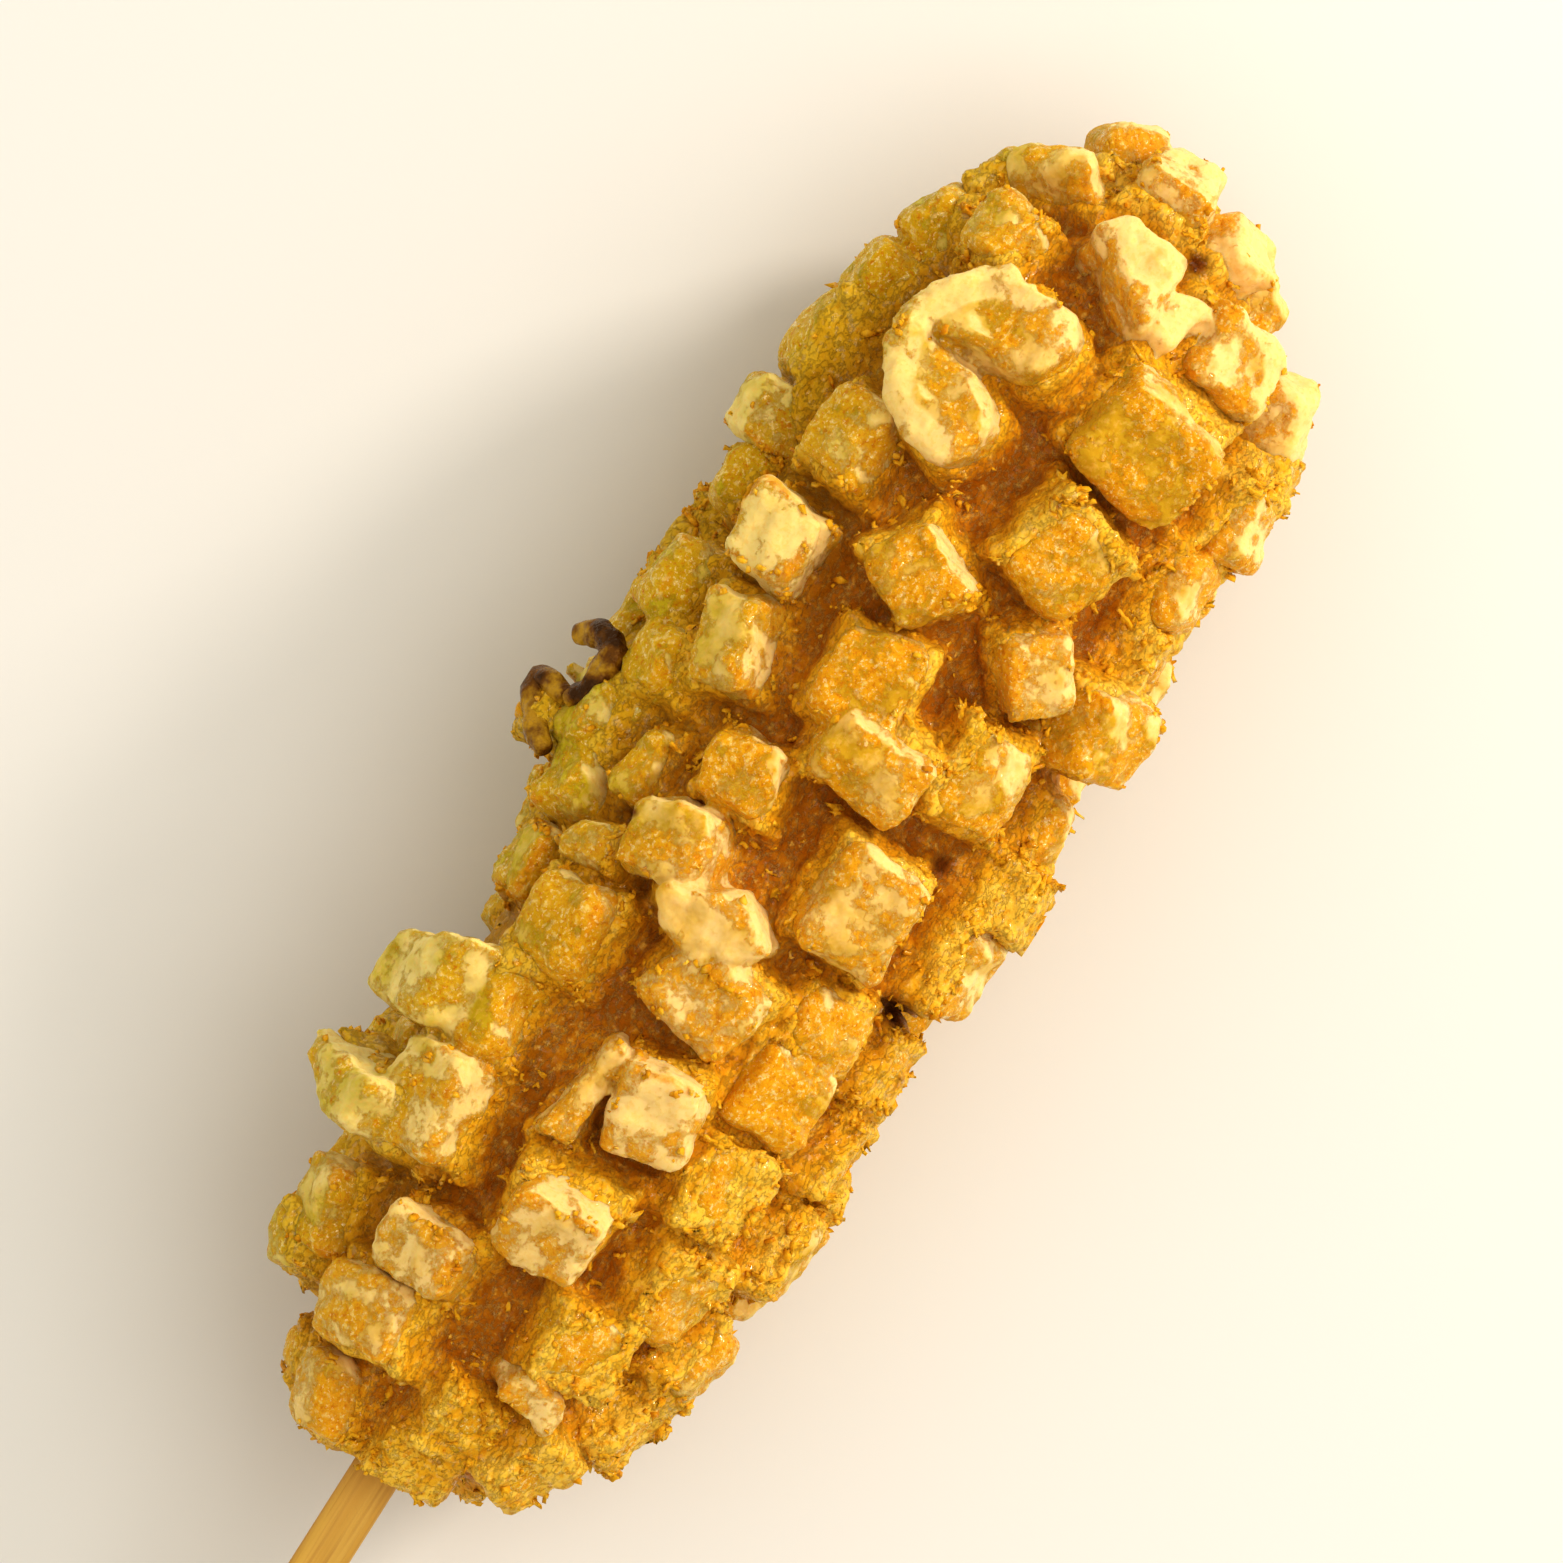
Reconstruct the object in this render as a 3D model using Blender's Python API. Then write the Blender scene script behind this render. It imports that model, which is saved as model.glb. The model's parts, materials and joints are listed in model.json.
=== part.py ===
"""A corn dog in a coat of potato dice, lying on its side on the wooden stick that runs through it.

The food lies along X with its tip at +X and its handle at -X. Sizes are in millimetres until MM turns them
into metres. Distances along the food run from a point on the stick 5 mm short of the batter, and angles round
it from straight up (+Z) towards +Y. At the end the whole is moved so that the middle of its box's base is the
origin.
"""

import bisect
import math
import random

import bmesh
import bpy
from mathutils import Matrix, Vector, noise

MM = 0.001

# The battered sausage: a round body with a long taper at the stick and a blunt tip.
CORE_START, CORE_END = 5.0, 153.0
CORE_RADIUS = 18.8
STICK_END_BLUNTNESS, TIP_BLUNTNESS = 3.0, 5.0
CORE_RINGS, CORE_SIDES = 26, 24
CORE_LUMP, CORE_LUMP_SIZE = 0.7, 14.0

# It lies this high above the table, which has pressed a flat on the lowest dice.
AXIS_HEIGHT = 24.8
TABLE_THICKNESS = 8.0

# The stick is sawn wood with rounded long edges. It runs nearly to the tip.
STICK_WIDTH, STICK_THICKNESS = 5.2, 4.2
STICK_HANDLE_END, STICK_TIP = -92.0, 132.0
STICK_OFF_CENTRE = -0.4
STICK_EDGE_ROUND, STICK_END_ROUND = 1.1, 0.5
SOCKET_GAP = 0.3

# The fried dice: how far each reaches into the batter, and how uneven its corners are.
DIE_DEPTH = 3.5
DIE_CORNER_SHIFT = 0.55
DIE_TOP_SHARE = 0.94
CLEAN_EDGE_ROUND, COATED_EDGE_ROUND = 0.7, 1.9

# The dice on top, as they were rolled on: distance along the food and off its centre line, length, width,
# rise above the batter, turn in degrees, how far the top leans towards the tip and round towards +Y in
# degrees, how far the end narrows to a wedge, and how thickly batter coats it.
TOP_DICE = (
    (9.3, 8.0, 9.0, 8.5, 5.0, 0, 18, 0, 0.1, 0.4),
    (18.8, 8.6, 8.6, 11.5, 6.8, 4, 0, 0, 0.0, 0.5),
    (26.7, 6.9, 7.7, 9.8, 6.3, -3, 0, 0, 0.0, 0.3),
    (25.6, 17.2, 9.5, 8.0, 6.6, -6, 0, -6, 0.1, 0.2),
    (21.0, 17.6, 6.2, 8.0, 8.0, 12, 0, 0, 0.0, 0.5),
    (8.4, -3.0, 6.4, 9.0, 4.0, 0, 0, 0, 0.1, 1.0),
    (14.0, -4.5, 8.0, 7.0, 5.0, 0, 0, 0, 0.0, 0.9),
    (14.6, -11.9, 8.6, 8.2, 6.4, -6, 0, 0, 0.1, 0.9),
    (20.6, -9.0, 4.8, 8.4, 6.5, -10, 0, 8, 0.2, 0.1),
    (27.0, -10.6, 9.0, 9.0, 6.5, 10, 0, 6, 0.0, 0.7),
    (23.0, -18.4, 9.0, 8.5, 6.8, -12, 0, 6, 0.1, 0.9),
    (35.8, -2.0, 9.0, 11.0, 7.6, 2, -24, 0, 0.0, 0.2),
    (39.6, 14.0, 11.6, 9.8, 8.0, 5, 0, 0, 0.0, 0.2),
    (42.0, 20.2, 8.0, 8.0, 4.2, 0, 0, 0, 0.1, 0.5),
    (36.0, -15.0, 10.0, 8.5, 6.5, 5, 0, 8, 0.0, 0.8),
    (31.8, -22.2, 9.0, 9.0, 8.2, -8, 0, 6, 0.1, 0.5),
    (44.8, -21.4, 10.0, 9.0, 7.6, -6, 0, 4, 0.1, 0.5),
    (47.5, -13.4, 10.0, 8.5, 6.0, 0, 0, 8, 0.0, 0.9),
    (50.5, -4.6, 10.0, 9.0, 8.0, 15, -12, 10, 0.0, 0.1),
    (48.8, 2.3, 13.2, 5.0, 6.5, -5, 0, -8, 0.4, 0.1),
    (50.5, 14.3, 10.0, 8.5, 7.2, 8, 0, 0, 0.0, 0.4),
    (61.2, 12.4, 10.8, 9.8, 7.2, 3, 0, 0, 0.0, 0.5),
    (64.8, 18.8, 8.5, 8.5, 3.8, 0, 0, 0, 0.0, 0.2),
    (69.6, 14.2, 4.6, 7.0, 6.5, 10, 0, 0, 0.2, 0.4),
    (63.4, -2.6, 9.8, 11.4, 7.6, -15, -6, 4, 0.0, 0.2),
    (74.4, 8.0, 8.0, 10.5, 8.6, 12, -6, 0, 0.1, 0.1),
    (83.6, 5.8, 8.0, 8.5, 7.4, 5, 0, 0, 0.0, 0.4),
    (74.6, 19.4, 8.5, 8.0, 6.2, 20, 0, 0, 0.4, 0.2),
    (79.0, 14.3, 9.0, 5.0, 4.5, 0, 0, 0, 0.2, 0.2),
    (81.0, 20.8, 9.0, 8.0, 7.0, 0, 0, 0, 0.0, 0.2),
    (78.2, 23.4, 5.5, 7.0, 9.0, 8, 0, 0, 0.2, 0.9),
    (83.0, 24.4, 2.6, 4.0, 8.6, 0, 0, 0, 0.3, 0.3),
    (77.4, 27.0, 2.4, 2.4, 10.4, 0, 0, 0, 0.0, 0.9),
    (88.5, 18.5, 7.5, 8.5, 6.6, 10, 0, 0, 0.0, 0.6),
    (96.0, 20.8, 9.5, 8.5, 7.4, -5, 0, 0, 0.1, 0.5),
    (94.0, 13.5, 10.5, 7.4, 7.2, 16, -6, -6, 0.0, 0.2),
    (105.2, 15.4, 9.0, 8.8, 8.4, -5, 0, -24, 0.0, 0.0),
    (108.0, 21.6, 8.0, 8.0, 5.8, 10, 0, 0, 0.0, 0.5),
    (115.2, 22.4, 7.0, 8.0, 8.2, 0, 0, 0, 0.1, 0.1),
    (117.6, 14.4, 10.0, 9.0, 7.6, 0, 0, -6, 0.0, 0.3),
    (98.0, 0.4, 11.0, 10.0, 6.8, 6, 0, 0, 0.0, 0.4),
    (91.2, -4.2, 9.2, 11.8, 8.0, -5, -20, 0, 0.0, 0.3),
    (109.6, 2.0, 8.6, 9.6, 7.8, -32, -8, 0, 0.0, 0.2),
    (78.4, -10.4, 12.0, 10.5, 8.6, 0, -8, 8, 0.0, 0.2),
    (58.3, -13.6, 10.2, 9.8, 6.6, 0, 0, 8, 0.0, 0.6),
    (67.0, -14.2, 7.8, 9.2, 6.4, 5, 0, 8, 0.0, 0.7),
    (56.2, -20.8, 9.0, 8.0, 5.4, 0, 0, 0, 0.0, 0.8),
    (66.0, -20.6, 8.5, 8.0, 5.4, 0, 0, 0, 0.1, 0.9),
    (78.6, -21.4, 10.5, 9.0, 7.8, 0, 0, 6, 0.0, 0.5),
    (87.0, -22.2, 7.5, 8.5, 8.6, 0, 0, 0, 0.0, 0.7),
    (95.4, -13.8, 10.8, 10.2, 7.0, 3, 0, 8, 0.0, 0.5),
    (94.6, -21.2, 8.5, 8.0, 6.0, 5, 0, 0, 0.1, 0.6),
    (107.8, -12.6, 9.2, 7.6, 7.0, 40, -8, 8, 0.0, 0.2),
    (105.8, -20.6, 9.6, 10.6, 9.8, 8, 0, 8, 0.0, 0.3),
    (114.4, -20.4, 6.0, 7.5, 6.4, 0, 0, 0, 0.0, 0.9),
    (118.4, -9.0, 10.4, 10.8, 7.8, -14, -8, 8, 0.0, 0.5),
    (121.8, -20.2, 9.6, 8.5, 7.2, 0, 0, 6, 0.0, 0.7),
    (132.4, -10.2, 11.6, 13.8, 9.2, -8, -28, 10, 0.0, 0.0),
    (130.6, -20.8, 8.6, 8.8, 8.8, 0, 0, 6, 0.0, 0.5),
    (136.8, -22.4, 3.6, 5.0, 9.4, 0, 0, 0, 0.1, 0.9),
    (141.2, -20.6, 9.4, 7.6, 9.0, 20, -6, 8, 0.1, 0.1),
    (143.8, -12.4, 8.6, 9.8, 8.4, -10, -14, 8, 0.0, 0.2),
    (124.6, 22.0, 10.5, 8.5, 7.6, 0, 0, 0, 0.0, 0.6),
    (132.4, 20.6, 8.6, 8.5, 7.4, 0, 0, 0, 0.0, 0.4),
    (140.6, 18.4, 8.6, 8.0, 7.2, -12, 0, 0, 0.1, 0.4),
    (142.2, 12.6, 7.4, 7.6, 7.6, 0, 0, 0, 0.0, 0.4),
    (148.0, 16.4, 7.5, 6.0, 7.0, -25, 0, 0, 0.1, 0.6),
    (150.2, 11.2, 4.4, 11.5, 7.0, 32, 0, 0, 0.2, 0.2),
    (155.8, 8.6, 8.0, 8.5, 8.0, 0, 0, 0, 0.1, 0.3),
    (154.8, 0.4, 8.0, 8.5, 7.2, 0, 0, 0, 0.1, 0.2),
    (153.0, -7.4, 7.5, 8.0, 6.6, -10, 0, 0, 0.1, 0.1),
)

# Pieces cut less squarely, each as its rise, coat, the same two leans, and its face's outline from above: two
# flaps that stand up at the edge, a diamond, the pair with one arched rim, and the slab and the wedge
# near the tip.
CUT_PIECES = (
    (12.0, 0.2, 0, 0, ((31.6, 21.5), (38.2, 21.0), (40.0, 29.0), (36.4, 27.4), (32.2, 24.8))),
    (11.0, 0.1, 0, 0, ((45.0, 21.0), (56.8, 20.0), (52.2, 27.2), (44.4, 28.2))),
    (9.0, 0.1, -6, 0, ((65.2, 2.6), (67.4, -3.6), (70.4, -6.2), (74.0, -1.0), (71.4, 7.8), (68.4, 6.6))),
    (
        8.0,
        0.2,
        0,
        -6,
        ((119.4, 7.6), (121.4, 5.0), (126.6, 4.4), (129.8, 8.0), (130.4, 16.6), (125.8, 15.8), (121.2, 12.4)),
    ),
    (
        8.2,
        0.2,
        0,
        -4,
        ((130.8, 7.2), (132.8, 2.0), (137.0, 0.8), (140.4, 4.0), (140.4, 10.0), (137.0, 14.6), (130.9, 16.6)),
    ),
    (7.4, 0.0, 0, 0, ((140.8, -4.4), (150.2, -4.2), (152.0, 4.0), (148.6, 6.6))),
    (6.8, 0.0, 0, 0, ((140.4, -6.6), (148.4, -10.6), (148.4, -5.2), (141.4, -4.4))),
)

# Round the back and underneath the dice follow a rule: rings a pitch apart, each die at least a gap from the
# others, with its size, turn and coat drawn at random. They are smaller on the taper at the stick.
FIRST_RING, RING_PITCH, ROUND_PITCH = 13.0, 9.8, 10.2
LEAST_GAP = 8.2
TOP_ARC_DEG, EDGE_ARC_DEG = 62.0, 112.0
HIDDEN_LENGTH, HIDDEN_WIDTH, HIDDEN_RISE = (8.0, 11.0), (7.5, 10.0), (6.2, 8.0)
EDGE_SHARE, STICK_END_SHARE, STICK_END_LENGTH = 0.85, 0.7, 24.0
HIDDEN_TURN_DEG = 24.0
HIDDEN_WEDGE_SHARE, HIDDEN_WEDGE = 0.15, 0.5
COAT_RANGE = (0.0, 0.8)
SEED = 11

# Bare spots along the two edges where no die has stuck: distance along, angle from straight up and radius.
BARE_SPOTS = (
    (4.0, 70, 9.0),
    (4.0, -70, 8.0),
    (30.0, 84, 7.0),
    (41.5, 86, 5.0),
    (57.5, 86, 9.5),
    (69.5, 86, 6.0),
    (102.0, 86, 5.0),
    (50.5, -86, 5.0),
    (70.0, -86, 7.0),
    (98.5, -86, 5.0),
    (150.0, -80, 6.0),
)

# A drip of batter that has burnt dark and set in a hook on the +Y side. Points along it, and its thickness.
BURNT_DRIPS = (
    ((86.4, 27.6), (87.4, 26.2), (87.6, 24.6), (86.6, 23.3), (84.2, 23.2), (82.0, 23.6), (80.4, 24.8)),
    ((80.4, 25.0), (81.0, 26.8), (80.6, 28.4), (79.2, 28.0), (77.6, 26.9), (76.0, 25.6), (74.8, 24.0)),
)
DRIP_RADIUS, DRIP_TIP_RADIUS = 1.2, 0.7
DRIP_SIDES, DRIP_STEPS = 7, 2
DRIP_HEIGHT, DRIP_SLOPE, DRIP_PIVOT = 9.5, 0.9, 24.0

CRUST_COLOUR = (0.80, 0.47, 0.09)
WOOD_COLOUR = (0.72, 0.47, 0.17)


def clear_scene():
    for old in list(bpy.data.objects):
        bpy.data.objects.remove(old)


def material(name, colour, roughness):
    made = bpy.data.materials.new(name)
    made.use_nodes = True
    shader = made.node_tree.nodes["Principled BSDF"]
    shader.inputs["Base Color"].default_value = (*colour, 1.0)
    shader.inputs["Roughness"].default_value = roughness
    shader.inputs["Metallic"].default_value = 0.0
    return made


def object_of(name, shape, collection):
    """An object from a bmesh, which is used up."""
    mesh = bpy.data.meshes.new(name)
    shape.to_mesh(mesh)
    shape.free()
    made = bpy.data.objects.new(name, mesh)
    collection.objects.link(made)
    return made


def core_radius(along):
    """The battered sausage's radius, a superellipse that is blunter at the tip."""
    middle, half = (CORE_START + CORE_END) / 2, (CORE_END - CORE_START) / 2
    off = (along - middle) / half
    power = TIP_BLUNTNESS if off > 0 else STICK_END_BLUNTNESS
    return CORE_RADIUS * math.sqrt(max(0.0, 1.0 - abs(off) ** power))


class Outline:
    """The core's outline from the stick end to the tip, measured by length along its curve."""

    STEPS = 600

    def __init__(self):
        middle, half = (CORE_START + CORE_END) / 2, (CORE_END - CORE_START) / 2
        steps = [math.pi * k / self.STEPS for k in range(self.STEPS + 1)]
        self.along = [middle - half * math.cos(step) for step in steps]
        self.radius = [core_radius(along) for along in self.along]
        self.arc = [0.0]
        for k in range(self.STEPS):
            run, climb = self.along[k + 1] - self.along[k], self.radius[k + 1] - self.radius[k]
            self.arc.append(self.arc[-1] + math.hypot(run, climb))
        self.length = self.arc[-1]

    def at(self, arc):
        """(distance along, radius, and the outward normal's part along the food and away from its axis)."""
        k = min(max(bisect.bisect(self.arc, arc), 1), self.STEPS)
        share = (arc - self.arc[k - 1]) / (self.arc[k] - self.arc[k - 1])
        run, climb = self.along[k] - self.along[k - 1], self.radius[k] - self.radius[k - 1]
        length = math.hypot(run, climb)
        return (
            self.along[k - 1] + share * run,
            self.radius[k - 1] + share * climb,
            -climb / length,
            run / length,
        )

    def seat_under(self, along, off_centre, lift):
        """(arc, angle) of the spot whose normal, followed for lift, ends at this place as seen from above."""
        low, high = 0.0, self.length
        for _ in range(40):
            arc = (low + high) / 2
            there, _, lean, _ = self.at(arc)
            if there + lean * lift < along:
                low = arc
            else:
                high = arc
        _, radius, _, out = self.at(low)
        reach = radius + out * lift
        return low, math.asin(max(-0.985, min(0.985, off_centre / max(reach, 0.1))))


def seat_frame(outline, arc, angle):
    """A spot on the core as a matrix in millimetres: its X runs along the food, Y round it and Z outwards."""
    along, radius, lean, out = outline.at(arc)
    side, up = math.sin(angle), math.cos(angle)
    lengthwise = Vector((out, -lean * side, -lean * up))
    crosswise = Vector((0.0, up, -side))
    outward = Vector((lean, out * side, out * up))
    frame = Matrix((lengthwise, crosswise, outward)).transposed().to_4x4()
    frame.translation = Vector((along, radius * side, AXIS_HEIGHT + radius * up))
    return frame


def die_frame(seat, rise, turn, lean_tip, lean_side):
    """The seat's matrix turned about its own Z and leant about the die's middle, all angles in degrees."""
    middle = Matrix.Translation((0.0, 0.0, rise / 2))
    lean = Matrix.Rotation(math.radians(lean_tip), 4, "Y") @ Matrix.Rotation(math.radians(-lean_side), 4, "X")
    return seat @ middle @ lean @ middle.inverted() @ Matrix.Rotation(math.radians(turn), 4, "Z")


def box_outline(length, width, wedge):
    """A die's four corners in its own frame. Its +X end is narrower by the wedge's share."""
    far = width * (1.0 - wedge) / 2
    return ((-length / 2, -width / 2), (length / 2, -far), (length / 2, far), (-length / 2, width / 2))


def placed_dice(outline):
    """The dice placed by hand, each as (its matrix in millimetres, outline, rise, coat)."""
    for along, off_centre, length, width, rise, turn, lean_tip, lean_side, wedge, coat in TOP_DICE:
        seat = seat_frame(outline, *outline.seat_under(along, off_centre, rise / 2))
        frame = die_frame(seat, rise, turn, lean_tip, lean_side)
        yield frame, box_outline(length, width, wedge), rise, coat
    for rise, coat, lean_tip, lean_side, corners in CUT_PIECES:
        along = sum(corner[0] for corner in corners) / len(corners)
        off_centre = sum(corner[1] for corner in corners) / len(corners)
        arc, angle = outline.seat_under(along, off_centre, rise)
        flat = max(math.cos(angle), 0.35)
        own = [(x - along, (y - off_centre) / flat) for x, y in corners]
        yield die_frame(seat_frame(outline, arc, angle), rise, 0, lean_tip, lean_side), own, rise, coat


def hidden_dice(outline, placed, draw):
    """The dice round the back and underneath, which fill what the placed ones leave."""
    centres = [frame @ Vector((0.0, 0.0, rise / 2)) for frame, _, rise, _ in placed]
    bare = []
    for along, degrees, size in BARE_SPOTS:
        side, up = math.sin(math.radians(degrees)), math.cos(math.radians(degrees))
        bare.append((Vector((along, CORE_RADIUS * side, AXIS_HEIGHT + CORE_RADIUS * up)), size))
    rings = round((outline.length - FIRST_RING) / RING_PITCH)
    for ring in range(rings + 1):
        arc = FIRST_RING + (outline.length - FIRST_RING) * ring / rings - 0.5 * (ring == rings)
        tapering = STICK_END_SHARE + (1.0 - STICK_END_SHARE) * min(1.0, (arc - FIRST_RING) / STICK_END_LENGTH)
        reach = outline.at(arc)[1] + HIDDEN_RISE[0] / 2
        count = max(3, round(2 * math.pi * reach / ROUND_PITCH))
        for step in range(count):
            angle = math.pi + 2 * math.pi * (step + 0.5 * (ring % 2) + draw.uniform(-0.12, 0.12)) / count
            angle = math.remainder(angle, 2 * math.pi)
            length, width, rise = (draw.uniform(*span) for span in (HIDDEN_LENGTH, HIDDEN_WIDTH, HIDDEN_RISE))
            rise *= tapering * (EDGE_SHARE if abs(angle) < math.radians(EDGE_ARC_DEG) else 1.0)
            turn = draw.uniform(-HIDDEN_TURN_DEG, HIDDEN_TURN_DEG)
            wedge = HIDDEN_WEDGE if draw.random() < HIDDEN_WEDGE_SHARE else 0.05
            coat = draw.uniform(*COAT_RANGE)
            frame = die_frame(seat_frame(outline, arc, angle), rise, turn, 0, 0)
            centre = frame @ Vector((0.0, 0.0, rise / 2))
            if abs(angle) < math.radians(TOP_ARC_DEG) and ring != rings:
                continue
            if any((centre - spot).length < size for spot, size in bare):
                continue
            if min((centre - other).length for other in centres) < LEAST_GAP * tapering:
                continue
            centres.append(centre)
            yield frame, box_outline(length * tapering, width * tapering, wedge), rise, coat


def die_shape(corners, rise, coat, draw, all_round):
    """One die with uneven corners, in metres: all its edges eased, or only those round its top."""
    shape = bmesh.new()
    rims = []
    for share, height in ((1.0, -DIE_DEPTH), (DIE_TOP_SHARE, rise)):
        rim = []
        for x, y in corners:
            shift = [draw.uniform(-DIE_CORNER_SHIFT, DIE_CORNER_SHIFT) for _ in range(3)]
            spot = Vector((x * share + shift[0], y * share + shift[1], height + shift[2] * (height > 0)))
            rim.append(shape.verts.new(spot * MM))
        rims.append(rim)
    low, high = rims
    shape.faces.new(high)
    shape.faces.new(low[::-1])
    for k in range(len(corners)):
        after = (k + 1) % len(corners)
        shape.faces.new([low[k], low[after], high[after], high[k]])
    edges = [edge for edge in shape.edges if all_round or set(edge.verts) <= set(high)]
    ease = CLEAN_EDGE_ROUND + coat * (COATED_EDGE_ROUND - CLEAN_EDGE_ROUND)
    bmesh.ops.bevel(shape, geom=edges, offset=ease * MM, segments=1, affect="EDGES", clamp_overlap=True)
    return shape


def core_shape(outline):
    """The battered sausage, a lathe shape with slow lumps in it, in metres."""
    shape = bmesh.new()
    rings = []
    for ring in range(1, CORE_RINGS):
        along, radius, _, _ = outline.at(outline.length * ring / CORE_RINGS)
        points = []
        for step in range(CORE_SIDES):
            angle = 2 * math.pi * step / CORE_SIDES
            spot = Vector((along, radius * math.sin(angle), radius * math.cos(angle)))
            lump = 1.0 + CORE_LUMP * noise.noise(spot / CORE_LUMP_SIZE) / CORE_RADIUS
            points.append(
                shape.verts.new((spot.x * MM, spot.y * lump * MM, (AXIS_HEIGHT + spot.z * lump) * MM))
            )
        rings.append(points)
    poles = [shape.verts.new((end * MM, 0.0, AXIS_HEIGHT * MM)) for end in (CORE_START, CORE_END)]
    for step in range(CORE_SIDES):
        after = (step + 1) % CORE_SIDES
        for near, far in zip(rings, rings[1:]):
            shape.faces.new([near[step], near[after], far[after], far[step]])
        shape.faces.new([poles[0], rings[0][after], rings[0][step]])
        shape.faces.new([poles[1], rings[-1][step], rings[-1][after]])
    bmesh.ops.recalc_face_normals(shape, faces=shape.faces)
    return shape


def smooth_path(points, steps):
    """Points along a Catmull-Rom curve through the given ones."""
    ends = [points[0] * 2 - points[1], *points, points[-1] * 2 - points[-2]]
    path = []
    for k in range(1, len(ends) - 2):
        before, here, there, after = ends[k - 1 : k + 3]
        for step in range(steps):
            t = step / steps
            path.append(
                0.5
                * (
                    2 * here
                    + (there - before) * t
                    + (2 * before - 5 * here + 4 * there - after) * t**2
                    + (3 * here - before - 3 * there + after) * t**3
                )
            )
    return [*path, points[-1]]


def drip_shape(outline_points):
    """A tapered round strand through the points, closed at both ends, in metres."""
    spots = [
        Vector((x, y, AXIS_HEIGHT + DRIP_HEIGHT - (y - DRIP_PIVOT) * DRIP_SLOPE)) for x, y in outline_points
    ]
    path = smooth_path(spots, DRIP_STEPS)
    shape = bmesh.new()
    rings = []
    for k, spot in enumerate(path):
        ahead = (path[min(k + 1, len(path) - 1)] - path[max(k - 1, 0)]).normalized()
        aside = ahead.cross(Vector((0, DRIP_SLOPE, 1))).normalized()
        over = aside.cross(ahead)
        share = k / (len(path) - 1)
        radius = DRIP_TIP_RADIUS + (DRIP_RADIUS - DRIP_TIP_RADIUS) * math.sin(math.pi * share) ** 0.5
        turns = [2 * math.pi * step / DRIP_SIDES for step in range(DRIP_SIDES)]
        rings.append(
            [
                shape.verts.new((spot + radius * (math.cos(turn) * aside + math.sin(turn) * over)) * MM)
                for turn in turns
            ]
        )
    for near, far in zip(rings, rings[1:]):
        for step in range(DRIP_SIDES):
            after = (step + 1) % DRIP_SIDES
            shape.faces.new([near[step], near[after], far[after], far[step]])
    shape.faces.new(rings[0])
    shape.faces.new(rings[-1])
    bmesh.ops.recalc_face_normals(shape, faces=shape.faces)
    return shape


def bar_shape(start, end, width, thickness, edge_round, end_round=0.0):
    """A straight bar along X with rounded long edges, in metres."""
    shape = bmesh.new()
    bmesh.ops.create_cube(shape, size=1.0)
    for vertex in shape.verts:
        vertex.co.x = (start + end) / 2 + vertex.co.x * (end - start)
        vertex.co.y = STICK_OFF_CENTRE + vertex.co.y * width
        vertex.co.z = AXIS_HEIGHT + vertex.co.z * thickness
    long_edges = [e for e in shape.edges if abs(e.verts[0].co.x - e.verts[1].co.x) > 1.0]
    bmesh.ops.bevel(shape, geom=long_edges, offset=edge_round, segments=3, profile=0.5, affect="EDGES")
    if end_round:
        rims = [e for e in shape.edges if abs(e.verts[0].co.x - e.verts[1].co.x) < 0.01]
        bmesh.ops.bevel(shape, geom=rims, offset=end_round, segments=1, affect="EDGES")
    bmesh.ops.scale(shape, vec=(MM, MM, MM), verts=shape.verts)
    return shape


def table_shape():
    """The space below the table's top, which the lowest dice are flattened against."""
    shape = bmesh.new()
    bmesh.ops.create_cube(shape, size=1.0)
    for vertex in shape.verts:
        vertex.co.x = (CORE_END / 2 + vertex.co.x * CORE_END * 2) * MM
        vertex.co.y = vertex.co.y * CORE_END * MM
        vertex.co.z = (vertex.co.z - 0.5) * TABLE_THICKNESS * MM
    return shape


def boolean(target, operation, collection, solver="EXACT"):
    """Applies one Boolean with every object of the collection, and removes them."""
    modifier = target.modifiers.new("join", "BOOLEAN")
    modifier.operation = operation
    modifier.operand_type = "COLLECTION"
    modifier.collection = collection
    modifier.solver = solver
    graph = bpy.context.evaluated_depsgraph_get()
    result = bpy.data.meshes.new_from_object(target.evaluated_get(graph))
    target.modifiers.clear()
    target.data = result
    for used in list(collection.objects):
        bpy.data.objects.remove(used)
    bpy.data.collections.remove(collection)


def keep_outer_skin(target):
    """Drops loose scraps, and fills hollows that the union has sealed, by keeping the largest skin alone."""
    shape = bmesh.new()
    shape.from_mesh(target.data)
    left, skins = set(shape.faces), []
    while left:
        front = [left.pop()]
        skin = set(front)
        while front:
            for edge in front.pop().edges:
                for face in edge.link_faces:
                    if face in left:
                        left.remove(face)
                        skin.add(face)
                        front.append(face)
        skins.append(skin)
    largest = max(skins, key=len)
    spare = [face for skin in skins if skin is not largest for face in skin]
    bmesh.ops.delete(shape, geom=spare, context="FACES")
    bmesh.ops.triangulate(shape, faces=shape.faces)
    shape.to_mesh(target.data)
    shape.free()


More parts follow.
